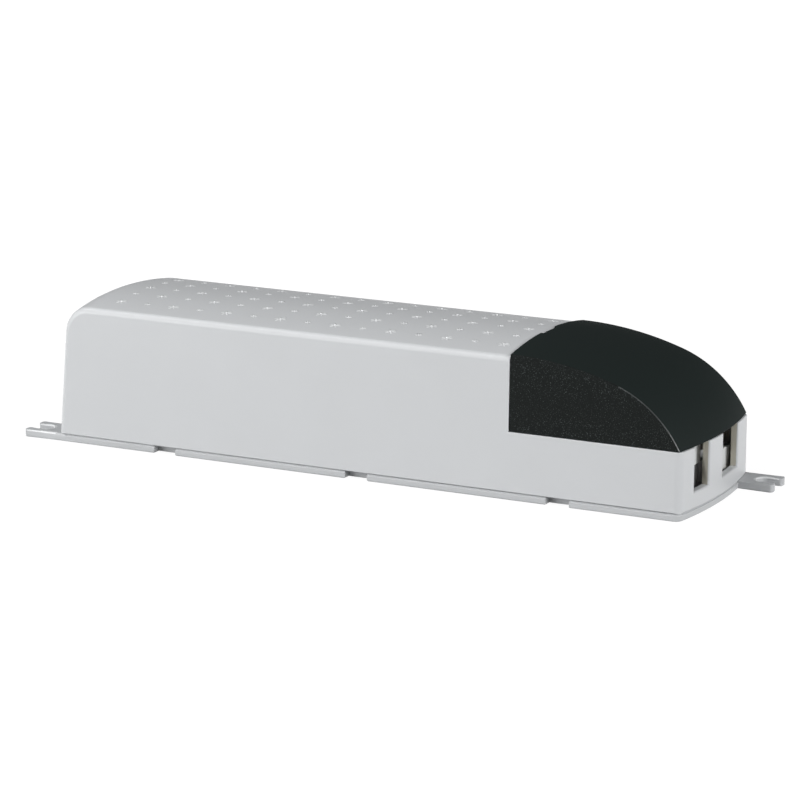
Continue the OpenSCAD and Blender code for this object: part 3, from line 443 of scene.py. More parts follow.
def clear_crown(shell):
    """Takes the flat stars off the crown and closes it."""
    raised = [
        face
        for face in shell.faces
        if any(crown_lift(v.co / MM) > RAISED and v.co.x < SEAM_X * MM for v in face.verts)
    ]
    bmesh.ops.delete(shell, geom=raised, context="FACES")
    rims = [edge for edge in shell.edges if edge.is_boundary]
    patches = bmesh.ops.holes_fill(shell, edges=rims, sides=0)["faces"]
    print("star faces taken off", len(raised), "patches", len(patches))


def open_foot(shell):
    """Lifts the foot's outer edge a little off the plate, which leaves the thin dark line of the joint."""
    lifted = 0
    for vert in shell.verts:
        p = vert.co / MM
        outermost = skin_gap(p) < OUTERMOST or p.x < CLOSED_FOOT_X
        if outermost and abs(p.z - PLATE_T) < AT_FOOT:
            vert.co.z += FOOT_GAP * MM
            lifted += 1
    print("foot corners lifted by", FOOT_GAP, "mm:", lifted)


def entry_edge(a, b):
    """Width for the outer edges up the sides and along the sill of a cord entry."""
    if max(skin_gap(a), skin_gap(b)) > SKIN_DEPTH or (a - b).length < SHORT_EDGE:
        return 0
    if min(a.x, b.x) < END_FROM_X or min(a.z, b.z) < SILL_Z - TOUCH:
        return 0
    sides = [y for entry in ENTRIES for y in entry]
    upright = any(abs(a.y - y) < TOUCH and abs(b.y - y) < TOUCH for y in sides)
    return ENTRY_ROUND if upright or max(a.z, b.z) < SILL_Z + TOUCH else 0


def housing_edge(a, b):
    """Width for the outer edges at the foot, the ledge and the seam."""
    if max(skin_gap(a), skin_gap(b)) > SKIN_DEPTH or (a - b).length < SHORT_EDGE:
        return 0
    if max(a.z, b.z) < PLATE_T + FOOT_GAP + TOUCH:
        return FOOT_ROUND
    low = max(a.z, b.z) < LEDGE_TO_Z
    on_seam = min(a.x, b.x) > SEAM_FROM_X
    return EDGE_ROUND if low or on_seam else 0


housing_shell = open_shell("housing")
clear_crown(housing_shell)
join_flats(housing_shell)
open_foot(housing_shell)
round_edges(housing_shell, entry_edge)
round_edges(housing_shell, housing_edge)
housing = close_shell(housing_shell, "housing_shell", housing_normal)

# %% Dress the housing
# The inner faces of the wiring space lie under this height.
TRAY_TO_Z = LEDGE_Z - 0.3


def in_reveal(p):
    """True for a point on the side of a cord entry, above its sill and behind its rounded edge."""
    beside = any(near - TOUCH < p.y < far + TOUCH for near, far in ENTRIES)
    return beside and p.z > SILL_Z + SKIN_DEPTH and skin_gap(p) > SKIN_DEPTH


def dress_housing(piece):
    """Outer skin in textured grey, the entries' sides and inner faces in cream."""
    piece.data.materials.append(housing_abs)
    piece.data.materials.append(inner_abs)
    count = 0
    for face in piece.data.polygons:
        middle = face.center / MM
        in_tray = middle.x > SEAM_X and middle.z < TRAY_TO_Z
        if in_tray and (skin_gap(middle) > INSIDE_DEPTH or in_reveal(middle)):
            face.material_index = 1
            count += 1
    print("cream faces", count)


dress_housing(housing)
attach(housing, "root")
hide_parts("housing")

# %% [markdown]
# ## Base plate and terminal cover
#
# Both are separate mouldings, so they are copied and rounded the same way. The plate's edges all lie in the
# open, so every long sharp edge up to the parting line is taken, and the prongs of the lugs are rounded
# much more, nearly to rods. A side face runs on from the plate into a lug, so it is cut where the lug
# begins. The lugs' tops are a little smoother, and painted lighter than the plate as painted light.
#
# On the cover the crease between the smooth top and the grained side is the edge that shows most: its front
# half is glossier and painted lighter, a painted highlight line. The cover's top is two arcs that meet
# smoothly, each a turn of the crowned section, so its normals can be set from the arcs' axes.

# %% Round the plate's edges
# A lug begins a little inside the tip of the bowed end.
LUG_INSET = 1.2
LUG_ROOT = HALF_L + CROWN_RISE - LUG_INSET
LUG_W = 10.0
UNDER_ROUND = 0.4
PRONG_ROUND = 0.78
RIM_ROUND = 0.2
# A face is an upright wall when more than the first share of its normal points sideways, and looks up
# when more than the second share points upwards.
UPRIGHT = 0.99
LOOKS_UP = 0.3


def part_lugs(shell):
    """Cuts the plate's side faces where a lug begins, so that its edges can have their own width."""
    for way in (-1, 1):
        sides = [
            face
            for face in shell.faces
            if face.normal.y * way > UPRIGHT
            and min(v.co.x * way for v in face.verts) < LUG_ROOT * MM
            and max(v.co.x * way for v in face.verts) > LUG_ROOT * MM
        ]
        edges = {edge for face in sides for edge in face.edges}
        verts = {vert for face in sides for vert in face.verts}
        bmesh.ops.bisect_plane(
            shell,
            geom=[*verts, *edges, *sides],
            plane_co=(way * LUG_ROOT * MM, 0, 0),
            plane_no=(1, 0, 0),
        )
        print("side faces cut at the lug", len(sides))


def on_lug(p):
    """True for a point on one of the two lugs, which stand at opposite corners."""
    return abs(p.x) > LUG_ROOT - TOUCH and p.x * p.y > 0 and abs(p.y) > HALF_W - LUG_W - TOUCH


def plate_edge(a, b):
    """Width for the edges of the plate and its lugs, below the hooks and posts."""
    if max(a.z, b.z) > PLATE_T + TOUCH or (a - b).length < SHORT_EDGE:
        return 0
    if max(a.z, b.z) < TOUCH:
        return UNDER_ROUND
    return PRONG_ROUND if on_lug(a) and on_lug(b) else RIM_ROUND


plate_shell = open_shell("base_plate")
join_flats(plate_shell)
part_lugs(plate_shell)
round_edges(plate_shell, plate_edge)
plate = close_shell(plate_shell, "base_plate_shell")


def dress_plate(piece):
    """Grained grey, and on top of the lugs a smoother finish painted lighter as painted light."""
    piece.data.materials.append(plate_abs)
    piece.data.materials.append(lug_tops_painted_light)
    count = 0
    for face in piece.data.polygons:
        if on_lug(face.center / MM) and face.normal.z > LOOKS_UP:
            face.material_index = 1
            count += 1
    print("lug faces painted lighter", count)


dress_plate(plate)
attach(plate, "root")
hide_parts("base_plate")

# %% Round the cover's edges
BACK_R = 92.0
FRONT_R = 33.7
BACK_TURN = math.radians(18.6)
BACK_AXIS = Vector((SEAM_X, 0, cover_high.z - BACK_R))
FRONT_AXIS = BACK_AXIS + Vector((math.sin(BACK_TURN), 0, math.cos(BACK_TURN))) * (BACK_R - FRONT_R)
COVER_ROUND = 0.2
COVER_SHORT_EDGE = 0.25
# A point this near to an arc lies on it, and this small turn past the place where they meet is allowed.
ON_COVER = 0.06
TURN_SLACK = 1e-4


def cover_normal(p):
    """Normal of the cover's top at a point, or None away from it."""
    for axis, radius in ((BACK_AXIS, BACK_R), (FRONT_AXIS, FRONT_R)):
        outward = Vector((p.x - axis.x, 0, p.z - axis.z))
        turn = math.atan2(outward.x, outward.z)
        drop = CROWN_R - math.sqrt(CROWN_R**2 - p.y**2)
        on_back = turn < BACK_TURN + TURN_SLACK
        on_front = turn > BACK_TURN - TURN_SLACK
        on_arc = on_back if radius == BACK_R else on_front
        if on_arc and abs(outward.length - radius + drop) < ON_COVER:
            lean = math.asin(p.y / CROWN_R)
            return outward.normalized() * math.cos(lean) + Vector((0, math.sin(lean), 0))
    return None


def cover_edge(a, b):
    """Width for the outer edges of the cover: crease, foot and seam."""
    on_skin = all(HALF_W - p.z * math.tan(SIDE_DRAFT) - abs(p.y) < SKIN_DEPTH for p in (a, b))
    at_end = all(cover_normal(p) for p in (a, b))
    return COVER_ROUND if (on_skin or at_end) and (a - b).length > COVER_SHORT_EDGE else 0


cover_shell = open_shell("terminal_cover")
join_flats(cover_shell)
round_edges(cover_shell, cover_edge)
cover = close_shell(cover_shell, "terminal_cover_shell", cover_normal)

# %% [markdown]
# ## Finish of the cover
#
# The cover is black ABS with a touch of green. Its mould was polished on top, which gives an even satin,
# and spark eroded at the sides, which leaves small pits and peaks; the glints of the peaks are painted as
# pale specks. One colour would make both look alike, so the sides have a finish of their own, chosen by the
# way each face looks.
# Real erosion pits are under 0.1 mm, too fine for this picture, so they are drawn 0.3 mm wide.


# %% Satin top and grained sides
# Peaks are this share of a pit wide. A painted glint speck shows from the first level of their noise, fully
# from the second.
PEAK_SHARE = 0.8
SPECK_FROM, SPECK_FULL = 0.62, 0.74
PIT_DEPTH = 0.02
BLACK_GLOSS = 0.12


def spark_eroded(name, colour, speck, grain):
    """Black plastic from a spark eroded mould: pits as relief and pale specks painted as glints, grain in
    millimetres.
    """
    material, tree, place = new_material(name)
    pits = add(
        tree,
        "ShaderNodeTexVoronoi",
        {"Scale": 1 / (grain * MM), "Randomness": 1.0},
        {"Vector": place},
    )
    glint_specks = add(
        tree,
        "ShaderNodeMapRange",
        {"From Min": SPECK_FROM, "From Max": SPECK_FULL},
        {"Value": noise(tree, place, grain * PEAK_SHARE, 1.0)},
    )
    speckled = blend(tree, linear(colour), linear(speck), glint_specks.outputs["Result"])
    plastic = add(
        tree,
        "ShaderNodeBsdfPrincipled",
        {"IOR": 1.5, "Roughness": 0.6, "Specular IOR Level": BLACK_GLOSS},
        {"Base Color": speckled, "Normal": bump(tree, PIT_DEPTH, pits.outputs["Distance"])},
    )
    finish_with(tree, plastic)
    return material


# %% Dress the cover
# An even satin black with a touch of green, which mirrors nothing.
cover_satin = moulded("ABS black, satin top", "#1a2120", 0.6, 0.3, 0.001, specular=BLACK_GLOSS)
# Pits and peaks make the sides duller and deeper black, with a scatter of pale specks painted as glints.
cover_grained = spark_eroded("ABS black, spark eroded sides", "#111514", "#494e4e", 0.3)
# The crease's front half is glossier than the cover and painted lighter: a painted highlight line.
crease_painted_highlight = moulded("ABS black, crease, painted highlight", "#2b3030", 0.3, 0.3, 0.0005, specular=0.9)

# The crease's facets lie this near to the side and above this height, and lean this much sideways. The
# painted highlight on them starts at this place along the part.
CREASE_DEPTH = 0.4
CREASE_FROM_Z = LEDGE_Z + 0.5
CREASE_LEAN = 0.2
HIGHLIGHT_FROM_X = 73.0


def dress_cover(piece):
    """Satin on faces that look up or to the cord end, grain on the sides, a painted highlight on the front
    crease.
    """
    for finish in (cover_satin, cover_grained, crease_painted_highlight):
        piece.data.materials.append(finish)
    counts = [0, 0, 0]
    for face in piece.data.polygons:
        middle = face.center / MM
        at_side = HALF_W - middle.z * math.tan(SIDE_DRAFT) - abs(middle.y) < CREASE_DEPTH
        sideways = abs(face.normal.y)
        on_crease = at_side and sideways > CREASE_LEAN and middle.z > CREASE_FROM_Z
        if on_crease and middle.x > HIGHLIGHT_FROM_X and sideways < UPRIGHT:
            face.material_index = 2
        elif on_crease or sideways > UPRIGHT:
            face.material_index = 1
        counts[face.material_index] += 1
    print("satin, grained and painted highlight faces", counts)


dress_cover(cover)
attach(cover, "root")
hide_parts("terminal_cover")

# %% [markdown]
# ## Raised stars
#
# The crown carries rows of small six-armed stars, large and small by turns, moulded with the housing. The
# arms are low round-backed petals that meet in a small dome, and the dome catches the light as one glint.
# Modelling one star and copying it by hand would freeze the pattern. Geometry Nodes lay the grid, bend it
# to the crown and pick the size by turns, with the pitches as named inputs.
#
# One star is made a unit wide and half a unit high, from one squashed ball. Six copies, shifted outwards
# and sunk, are the arms, and one in the middle is the dome.

# %% One star
# Places and sizes of the arms and the dome, in the star's own unit.
ARM_OUT, ARM_SUNK = 0.27, 0.36
ARM_LONG, ARM_WIDE = 0.7, 0.26
DOME_WIDE = 0.2
ARMS = 6


def one_star(tree):
    """Arms turned about a dome, all from one ball of few faces."""
    ball = add(tree, "GeometryNodeMeshUVSphere", {"Segments": 8, "Rings": 5, "Radius": 0.5})
    arm = add(
        tree,
        "GeometryNodeTransform",
        {"Translation": (ARM_OUT, 0, -ARM_SUNK), "Scale": (ARM_LONG, ARM_WIDE, 1)},
        {"Geometry": ball.outputs["Mesh"]},
    )
    dome = add(
        tree,
        "GeometryNodeTransform",
        {"Scale": (DOME_WIDE, DOME_WIDE, 1)},
        {"Geometry": ball.outputs["Mesh"]},
    )
    spokes = add(tree, "GeometryNodePoints", {"Count": ARMS})
    index = add(tree, "GeometryNodeInputIndex").outputs[0]
    angle = maths(tree, "MULTIPLY", index, math.tau / ARMS)
    turn = add(tree, "ShaderNodeCombineXYZ", links={"Z": angle})
    arms = add(
        tree,
        "GeometryNodeInstanceOnPoints",
        links={
            "Points": spokes.outputs[0],
            "Instance": arm.outputs[0],
            "Rotation": turn.outputs[0],
        },
    )
    star = add(tree, "GeometryNodeJoinGeometry")
    for piece in (dome, arms):
        tree.links.new(piece.outputs[0], star.inputs[0])
    return star.outputs[0]


# %% Grid on the crown
def crown_grid(tree, given):
    """Points in columns and rows on the crown, and the turn that stands a star upright on each."""
    # The grid spans the gaps between its columns and between its rows.
    spans = []
    for count, pitch in (("Columns", "Pitch Along"), ("Rows", "Pitch Across")):
        gaps = maths(tree, "SUBTRACT", given[count], 1.0)
        spans.append(maths(tree, "MULTIPLY", gaps, given[pitch]))
    grid = add(
        tree,
        "GeometryNodeMeshGrid",
        links={
            "Size X": spans[0],
            "Size Y": spans[1],
            "Vertices X": given["Columns"],
            "Vertices Y": given["Rows"],
        },
    )
    spot = add(
        tree, "ShaderNodeSeparateXYZ", links={0: add(tree, "GeometryNodeInputPosition").outputs[0]}
    )

    # Each grid point rises to the crown, whose height above its axis is a root of two squares.
    squares = [maths(tree, "POWER", v, 2.0) for v in (given["Crown Radius"], spot.outputs["Y"])]
    above_axis = maths(tree, "SQRT", maths(tree, "SUBTRACT", *squares))
    axis = maths(tree, "SUBTRACT", given["Crown Height"], given["Crown Radius"])
    height = maths(tree, "ADD", axis, above_axis)

    # The grid is centred, so it moves along by half its length to start at the first column.
    half_span = maths(tree, "MULTIPLY", spans[0], 0.5)
    shift = maths(tree, "ADD", given["First Column"], half_span)
    along = maths(tree, "ADD", spot.outputs["X"], shift)
    place = add(
        tree,
        "ShaderNodeCombineXYZ",
        links={"X": along, "Y": spot.outputs["Y"], "Z": height},
    )
    upward = add(tree, "ShaderNodeCombineXYZ", links={"Y": spot.outputs["Y"], "Z": above_axis})
    lifted = add(
        tree,
        "GeometryNodeSetPosition",
        links={"Geometry": grid.outputs["Mesh"], "Position": place.outputs[0]},
    )
    upright = add(
        tree,
        "FunctionNodeAlignRotationToVector",
        {"axis": "Z"},
        {"Vector": upward.outputs[0]},
    )
    return lifted.outputs[0], upright.outputs[0]


# %% Tree for the stars
def star_tree():
    """Geometry Nodes that lay petalled stars on a crown that is round about a lengthwise axis."""
    tree = bpy.data.node_groups.new("Raised stars", "GeometryNodeTree")
    sockets = tree.interface
    sockets.new_socket("Geometry", in_out="OUTPUT", socket_type="NodeSocketGeometry")
    for name in ("Columns", "Rows"):
        sockets.new_socket(name, in_out="INPUT", socket_type="NodeSocketInt")
    for name in ("Pitch Along", "Pitch Across", "Large Star", "Small Star", "Rise", "Crown Radius"):
        sockets.new_socket(name, in_out="INPUT", socket_type="NodeSocketFloat")
    for name in ("Crown Height", "First Column"):
        sockets.new_socket(name, in_out="INPUT", socket_type="NodeSocketFloat")
    sockets.new_socket("Finish", in_out="INPUT", socket_type="NodeSocketMaterial")
    given = add(tree, "NodeGroupInput").outputs
    points, upright = crown_grid(tree, given)
    star = one_star(tree)

    # Every second star is a small one. A star is half a unit high, so twice the rise is its scale.
    odd = maths(tree, "MODULO", add(tree, "GeometryNodeInputIndex").outputs[0], 2.0)
    size = add(
        tree,
        "GeometryNodeSwitch",
        {"input_type": "FLOAT"},
        {"Switch": odd, "False": given["Large Star"], "True": given["Small Star"]},
    )
    rise = maths(tree, "MULTIPLY", given["Rise"], 2.0)
    scale = add(
        tree,
        "ShaderNodeCombineXYZ",
        links={"X": size.outputs[0], "Y": size.outputs[0], "Z": rise},
    )
    field = add(
        tree,
        "GeometryNodeInstanceOnPoints",
        links={"Points": points, "Instance": star, "Rotation": upright, "Scale": scale.outputs[0]},
    )
    real = add(tree, "GeometryNodeRealizeInstances", links={0: field.outputs[0]})
    smooth = add(
        tree, "GeometryNodeSetShadeSmooth", {"Shade Smooth": True}, {"Geometry": real.outputs[0]}
    )
    dressed = add(
        tree,
        "GeometryNodeSetMaterial",
        links={"Geometry": smooth.outputs[0], "Material": given["Finish"]},
    )
    add(tree, "NodeGroupOutput", links={0: dressed.outputs[0]})
    return tree


# %% Run a tree
def grow(name, tree, inputs):
    """Runs a Geometry Nodes tree with its named inputs and returns the result as a plain mesh piece."""
    holder = bpy.data.objects.new(name + "_holder", bpy.data.meshes.new(name + "_holder"))
    scene.collection.objects.link(holder)
    modifier = holder.modifiers.new(name, "NODES")
    modifier.node_group = tree
    for item in tree.interface.items_tree:
        if item.in_out == "INPUT" and item.name in inputs:
            modifier[item.identifier] = inputs[item.name]
    graph = bpy.context.evaluated_depsgraph_get()
    mesh = bpy.data.meshes.new_from_object(holder.evaluated_get(graph), depsgraph=graph)
    mesh.name = name
    bpy.data.objects.remove(holder)
    piece = bpy.data.objects.new(name, mesh)
    scene.collection.objects.link(piece)
    print(name, "faces", len(mesh.polygons))
    return piece


# %% Lay the stars
STAR_COLUMNS = 15
STAR_PITCH = 8.04
STAR_MARGIN = 5.1
# The stars are smoother than the housing, and painted lighter than it as painted highlight on each petal.
star_abs_painted_light = moulded("ABS silver grey, raised stars, painted light", "#d9dbdc", 0.3, 0.3, 0.001)
stars = grow(
    "raised_stars",
    star_tree(),
    {
        "Columns": STAR_COLUMNS,
        "Rows": 5,
        "Pitch Along": STAR_PITCH * MM,
        "Pitch Across": 7.84 * MM,
        "Large Star": 3.4 * MM,
        "Small Star": 2.0 * MM,
        "Rise": 0.27 * MM,
        "Crown Radius": CROWN_R * MM,
        "Crown Height": BODY_H * MM,
        "First Column": (SEAM_X - STAR_MARGIN - (STAR_COLUMNS - 1) * STAR_PITCH) * MM,
        "Finish": star_abs_painted_light,
    },
)
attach(stars, "root")

# %% [markdown]
# ## Metals
#
# Screws are zinc plated steel, terminal cages and fuse clips bare brass, the fuse's caps nickel plated and
# the heat sink bent aluminium sheet. A metal's colour is its reflection, so its base colour is bright and
# its roughness does the work. Rolling and plating leave fine streaks and a cloudy sheen, which noise
# stretched along the piece gives. The pillars of the mains clamp are powder coated, so they take the
# moulded recipe.

# %% Recipe for metals
# Dull streaks keep this share of the colour, and streaks change the roughness by this much.
DULL = 0.85
STREAK_SPREAD = 0.08


def metal(name, colour, roughness, grain, stretch=1.0):
    """Bare or plated metal: grain in millimetres, stretched along X by the given factor."""
    material, tree, place = new_material(name)
    along = add(tree, "ShaderNodeMapping", {"Scale": (1 / stretch, 1, 1)}, {"Vector": place})
    streaks = noise(tree, along.outputs[0], grain, 4.0)
    dull = [c * DULL for c in linear(colour)[:3]] + [1]
    surface = add(
        tree,
        "ShaderNodeBsdfPrincipled",
        {"Metallic": 1.0},
        {
            "Base Color": blend(tree, dull, linear(colour), streaks),
            "Roughness": vary(tree, roughness, STREAK_SPREAD, streaks),
        },
    )
    finish_with(tree, surface)
    return material


# Zinc plating is cool grey, with a cloudy sheen that is half dull.
zinc = metal("steel, zinc plated", "#b9bcbf", 0.35, 0.6)
# Bare brass is warm yellow, with short streaks from the rolled strip.
brass = metal("brass, bare stamped", "#d0ab5e", 0.3, 0.5, 4)
# Nickel is warm white and nearly a mirror.
nickel = metal("nickel plate on brass", "#c9c7c0", 0.2, 0.8)
# Rolled sheet is pale, and long fine streaks draw its highlights out.
aluminium = metal("aluminium sheet, as rolled", "#cfd1d3", 0.35, 0.4, 12)
# Powder melts to a slight orange peel, which gives mid grey soft highlights.
pillar_coat = moulded("powder coat grey, on steel pillars", "#949698", 0.45, 0.25, 0.01)

# %% [markdown]
# ## Board, windings and small parts
#
# They stand behind closed walls, and only the clamps and the terminals show through the entries. They still
# carry their true finishes, because the cover comes off and the model may be opened. The board is paper
# laminate mottled by its fibres, the ferrite is dull and pitted, and enamelled copper has a varnish over
# metal. A winding's wires are drawn by a wave that turns about the core's own axis.

# %% Copper windings
# The wires touch at this share of the winding's radius, and the grooves are painted down to this share of
# the colour as painted shade between the wires.
INNER_SHARE = 0.6
GROOVE_SHADE = 0.35


def wound(name, colour, node, wire):
    """Enamelled copper wire round an upright core, as many as lie side by side at its inner wall."""
    low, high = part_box(node)
    middle = (low + high) / 2
    radius = (high.x - low.x) / 2
    turns = round(math.tau * radius * INNER_SHARE / (wire * MM))
    material, tree, place = new_material(name)
    centred = add(tree, "ShaderNodeMapping", {"Location": -middle}, {"Vector": place})
    angle = add(
        tree, "ShaderNodeTexGradient", {"gradient_type": "RADIAL"}, {"Vector": centred.outputs[0]}
    )
    phase = maths(tree, "MULTIPLY", angle.outputs["Fac"], turns * math.tau)
    ridge = maths(tree, "SINE", phase)
    height = add(
        tree, "ShaderNodeMapRange", {"From Min": -1.0, "From Max": 1.0}, {"Value": ridge}
    ).outputs["Result"]
    # Painted shade: the colour darkens into the grooves between the wires.
    dark = [c * GROOVE_SHADE for c in linear(colour)[:3]] + [1]
    surface = add(
        tree,
        "ShaderNodeBsdfPrincipled",
        {"Metallic": 0.8, "Roughness": 0.3, "Coat Weight": 0.5, "Coat Roughness": 0.15},
        {
            "Base Color": blend(tree, dark, linear(colour), height),
            "Normal": bump(tree, wire / 2, height),
        },
    )
    finish_with(tree, surface)
    return material


# %% Drawn glass
WAVE_SIZE = 3.0
WAVE_DEPTH = 0.01


def glass_tube():
    """Clear drawn glass: colourless, with faint waves that bend what lies behind it."""
    material, tree, place = new_material("glass, drawn tube")
    waves = noise(tree, place, WAVE_SIZE, 1.0)
    surface = add(
        tree,
        "ShaderNodeBsdfPrincipled",
        {
            "Base Color": linear("#e8f2ee"),
            "Roughness": 0.03,
            "IOR": 1.5,
            "Transmission Weight": 1.0,
        },
        {"Normal": bump(tree, WAVE_DEPTH, waves, 0.3)},
    )
    finish_with(tree, surface)
    return material


# %% Finish of each inner part
# Varnish over bright metal gives copper a deep orange brown with a wet shine.
COPPER = "#b8683a"
# Paper laminate is tan and dull, and its fibres mottle it.
laminate = moulded("paper laminate, tan", "#b98f5c", 0.45, 0.5, 0.01, mottle=0.08)
# Polyester film is milky and smooth, with a broad soft shine.
film = moulded("polyester film, milky", "#e2dcc4", 0.3, 2.0, 0.003)
# Dipped epoxy runs a little as it cures, which leaves shallow glossy waves.
dipped_blue = moulded("epoxy dip, blue", "#2a4f8f", 0.25, 1.5, 0.03)
# A thin coat over rough ferrite softens its pits and tints it green.
ferrite_green = moulded("ferrite, green coated", "#59734e", 0.5, 0.4, 0.015)
# Bare ferrite is fired powder: charcoal grey, dull and pitted.
ferrite_black = moulded("ferrite, bare", "#2a2b2d", 0.6, 0.25, 0.02, mottle=0.15)
# The boxes of film capacitors are smooth mouldings in clear colours, with a crisp highlight.
box_yellow = moulded("polyester box, yellow", "#d8b845", 0.35, 0.4, 0.004)
box_red = moulded("polypropylene box, dark red", "#7d2a22", 0.35, 0.4, 0.004)
# Epoxy filled with quartz powder is black, dull and faintly sandy.
compound = moulded("epoxy moulding compound, black", "#1d1e20", 0.5, 0.25, 0.01)
# Shrunk vinyl is very dark blue, even and glossy.
sleeve_blue = moulded("vinyl sleeve, dark blue", "#1d2547", 0.25, 1.0, 0.006)
# Lacquer baked over ceramic is tan, slightly uneven and half glossy.
lacquer_tan = moulded("resistor lacquer, tan", "#c3a67c", 0.35, 0.6, 0.02, mottle=0.05)
# A thicker lacquer is bright blue and as glossy as glass.
diode_blue = moulded("diode lacquer, blue", "#3d6a96", 0.2, 0.8, 0.01)
# Silicone rubber is chalky grey, without any highlight.
pad_grey = moulded("silicone pad, grey", "#a8a5a4", 0.75, 0.2, 0.006)
# Unfilled polyamide is warm white and waxy.
cradle_white = moulded("polyamide white, moulded", "#e4e4de", 0.5, 0.4, 0.005)

FINISHES = {
    "circuit_board": laminate,
    "insulating_sheet": film,
    "board_screws": zinc,
    "mains_terminal_screws": zinc,
    "lamp_terminal_screws": zinc,
    "cord_clamp_screws": zinc,
    "transistor_screws": zinc,
    "mains_terminal_block": bar_polyamide,
    "lamp_terminal_block": bar_polyamide,
    "mains_clamp_bar": bar_polyamide,
    "lamp_clamp_bar": bar_polyamide,
    "mains_terminal_cages": brass,
    "lamp_terminal_cages": brass,
    "fuse_clips": brass,
    "mains_clamp_pillars": pillar_coat,
    "fuse_tube": glass_tube(),
    "fuse_caps": nickel,
    "varistor": dipped_blue,
    "choke_core": ferrite_green,
    "drive_core": ferrite_green,
    "choke_windings": wound("copper wire, choke", COPPER, "choke_windings", 0.7),
    "drive_windings": wound("copper wire, drive ring", COPPER, "drive_windings", 0.5),
    "primary_winding": wound("copper wire, primary", COPPER, "primary_winding", 0.6),
    "secondary_winding": metal("copper wire, enamelled", COPPER, 0.25, 1.0),
    "filter_capacitor": box_yellow,
    "bridge_capacitor_a": box_red,
    "bridge_capacitor_b": box_red,
    "bridge_rectifier": compound,
    "thermal_cutout": compound,
    "transistor_a": compound,
    "transistor_b": compound,
    "start_capacitor": sleeve_blue,
    "start_resistors": lacquer_tan,
    "base_resistors": lacquer_tan,
    "trigger_diode": diode_blue,
    "transistor_pads": pad_grey,
    "heat_sink": aluminium,
    "output_core": ferrite_black,
    "core_cradle": cradle_white,
}

for name, finish in FINISHES.items():
    nodes[name].data.materials.clear()
    nodes[name].data.materials.append(finish)
print("inner parts finished", len(FINISHES))

# %% [markdown]
# ## Studio
#
# The photograph is a product shot on white: soft light from the camera's side, less from above, and a
# bright rim along the near top edge. The floor is plain and pale. To the camera it is white paper. Near the
# object a share of its real shading stays, so that the object keeps its shadow and stands on something,
# and that share fades out with the distance. What the plastic mirrors at a flat angle is the room, which is
# dimmer than the paper, so the far edge of the crown goes darker, as it does in the photograph.

# %% White floor
FLOOR_SIZE = 6.0
# Up to the near distance the camera sees this share of the floor's own shading, and from the far one none.
FLOOR_SHARE = 0.2
NEAR, FAR = 120 * MM, 400 * MM
# The glow is over 1, so that its mix with that shading is still white.
PAPER_GLOW = 1.18
WHITE = (1, 1, 1, 1)


def looked_at(tree, kinds):
    """A socket that is 1 for each of the named kinds of ray of the Light Path node."""
    path = add(tree, "ShaderNodeLightPath").outputs
    seen = path[kinds[0]]
    for kind in kinds[1:]:
        seen = maths(tree, "MAXIMUM", seen, path[kind])
    return seen


def white_floor():
    """Matt floor that the camera, mirrors and glass see as white paper with a faint shadow."""
    material, tree, place = new_material("studio paper, white")
    seen = looked_at(tree, ("Is Camera Ray", "Is Glossy Ray", "Is Transmission Ray"))
    distance = add(tree, "ShaderNodeVectorMath", {"operation": "LENGTH"}, {0: place})
    share = add(
        tree,
        "ShaderNodeMapRange",
        {
            "interpolation_type": "SMOOTHSTEP",
            "From Min": NEAR,
            "From Max": FAR,
            "To Min": 1 - FLOOR_SHARE,
            "To Max": 1.0,
        },
        {"Value": distance.outputs["Value"]},
    )
    masked = maths(tree, "MULTIPLY", seen, share.outputs["Result"])
    paper = add(tree, "ShaderNodeBsdfDiffuse", {"Color": linear("#bcbcbc")})
    glow = add(tree, "ShaderNodeEmission", {"Color": WHITE, "Strength": PAPER_GLOW})
    mixed = add(
        tree,
        "ShaderNodeMixShader",
        links={0: masked, 1: paper.outputs[0], 2: glow.outputs[0]},
    )
    finish_with(tree, mixed)
    return material


half = FLOOR_SIZE / 2
floor_mesh = bpy.data.meshes.new("floor")
floor_mesh.from_pydata(
    [(-half, -half, 0), (half, -half, 0), (half, half, 0), (-half, half, 0)], [], [(0, 1, 2, 3)]
)
floor = bpy.data.objects.new("floor", floor_mesh)
floor.data.materials.append(white_floor())
scene.collection.objects.link(floor)
floor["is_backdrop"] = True
print("floor in metres", FLOOR_SIZE)

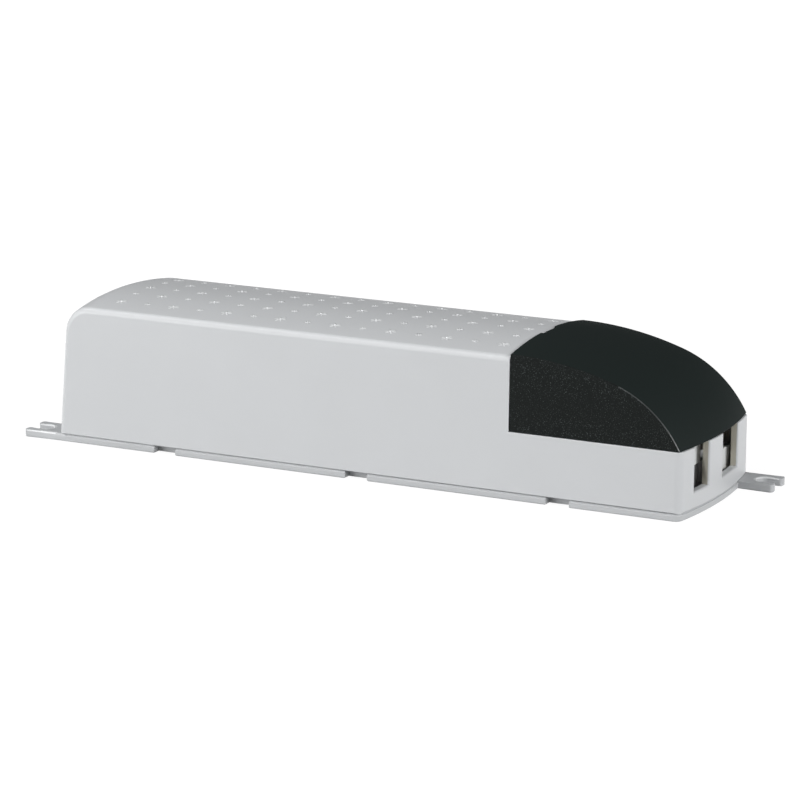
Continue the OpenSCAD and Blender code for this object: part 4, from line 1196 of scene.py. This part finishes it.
# %% Room light
# The room's strength, and the share of it that is left behind the object. It falls between these two
# slants of a ray to the rear.
AMBIENT = 0.22
BEHIND = 0.35
DIM_FROM, DIM_TO = -0.4, 0.8
world = bpy.data.worlds.new("studio")
world.use_nodes = True
sky = world.node_tree
sky.nodes.clear()
toward = add(
    sky, "ShaderNodeSeparateXYZ", links={0: add(sky, "ShaderNodeTexCoord").outputs["Generated"]}
)
dim_behind = add(
    sky,
    "ShaderNodeMapRange",
    {"From Min": DIM_FROM, "From Max": DIM_TO, "To Min": AMBIENT, "To Max": AMBIENT * BEHIND},
    {"Value": toward.outputs["Y"]},
)
room = add(
    sky,
    "ShaderNodeBackground",
    {"Color": WHITE},
    {"Strength": dim_behind.outputs["Result"]},
)
white = add(sky, "ShaderNodeBackground", {"Color": WHITE, "Strength": 1.0})
seen = looked_at(sky, ("Is Camera Ray", "Is Transmission Ray"))
sky_mix = add(sky, "ShaderNodeMixShader", links={0: seen, 1: room.outputs[0], 2: white.outputs[0]})
add(sky, "ShaderNodeOutputWorld", links={"Surface": sky_mix.outputs[0]})
scene.world = world
print("room light from", AMBIENT, "to", round(AMBIENT * BEHIND, 3))

# %% [markdown]
# ## Lamps
#
# Two large softboxes stand on the camera's side, one facing the long side and one the cord end, so that
# the walls are a little brighter than the top. A small weak one at the closed end gives its rounded corner
# a faint rim. A long narrow strip hangs above the camera's side: it adds little to the top, but the rounded
# near edge mirrors it to the camera as a bright line.


# %% Hang the softboxes
def softbox(name, place, size, power):
    """An area lamp at a place in metres that faces the object."""
    data = bpy.data.lights.new(name, "AREA")
    data.shape = "RECTANGLE"
    data.size, data.size_y = size
    data.energy = power
    lamp = bpy.data.objects.new(name, data)
    lamp.location = place
    lamp.rotation_mode = "QUATERNION"
    lamp.rotation_quaternion = (-Vector(place)).to_track_quat("-Z", "Y")
    scene.collection.objects.link(lamp)
    print(name, "at", place, "with", power, "W")


softbox("side_softbox", (-0.85, -0.9, 0.3), (0.9, 0.5), 8.3)
softbox("end_softbox", (1.08, -0.15, 0.5), (0.8, 0.5), 9.7)
softbox("closed_end_softbox", (-1.0, -0.1, 0.45), (0.5, 0.3), 0.8)
softbox("edge_strip", (-0.45, -0.5, 0.95), (1.6, 0.1), 7.2)

# %% [markdown]
# ## Picture and size
#
# The picture is kept plain: the standard view transform shows each colour as it is written. The dressed
# model's box is printed, so that it can be set against the solids' box printed at the start.

# %% Set the view transform and print the size
scene.view_settings.view_transform = "Standard"
low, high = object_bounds()
report("dressed model", low, high)
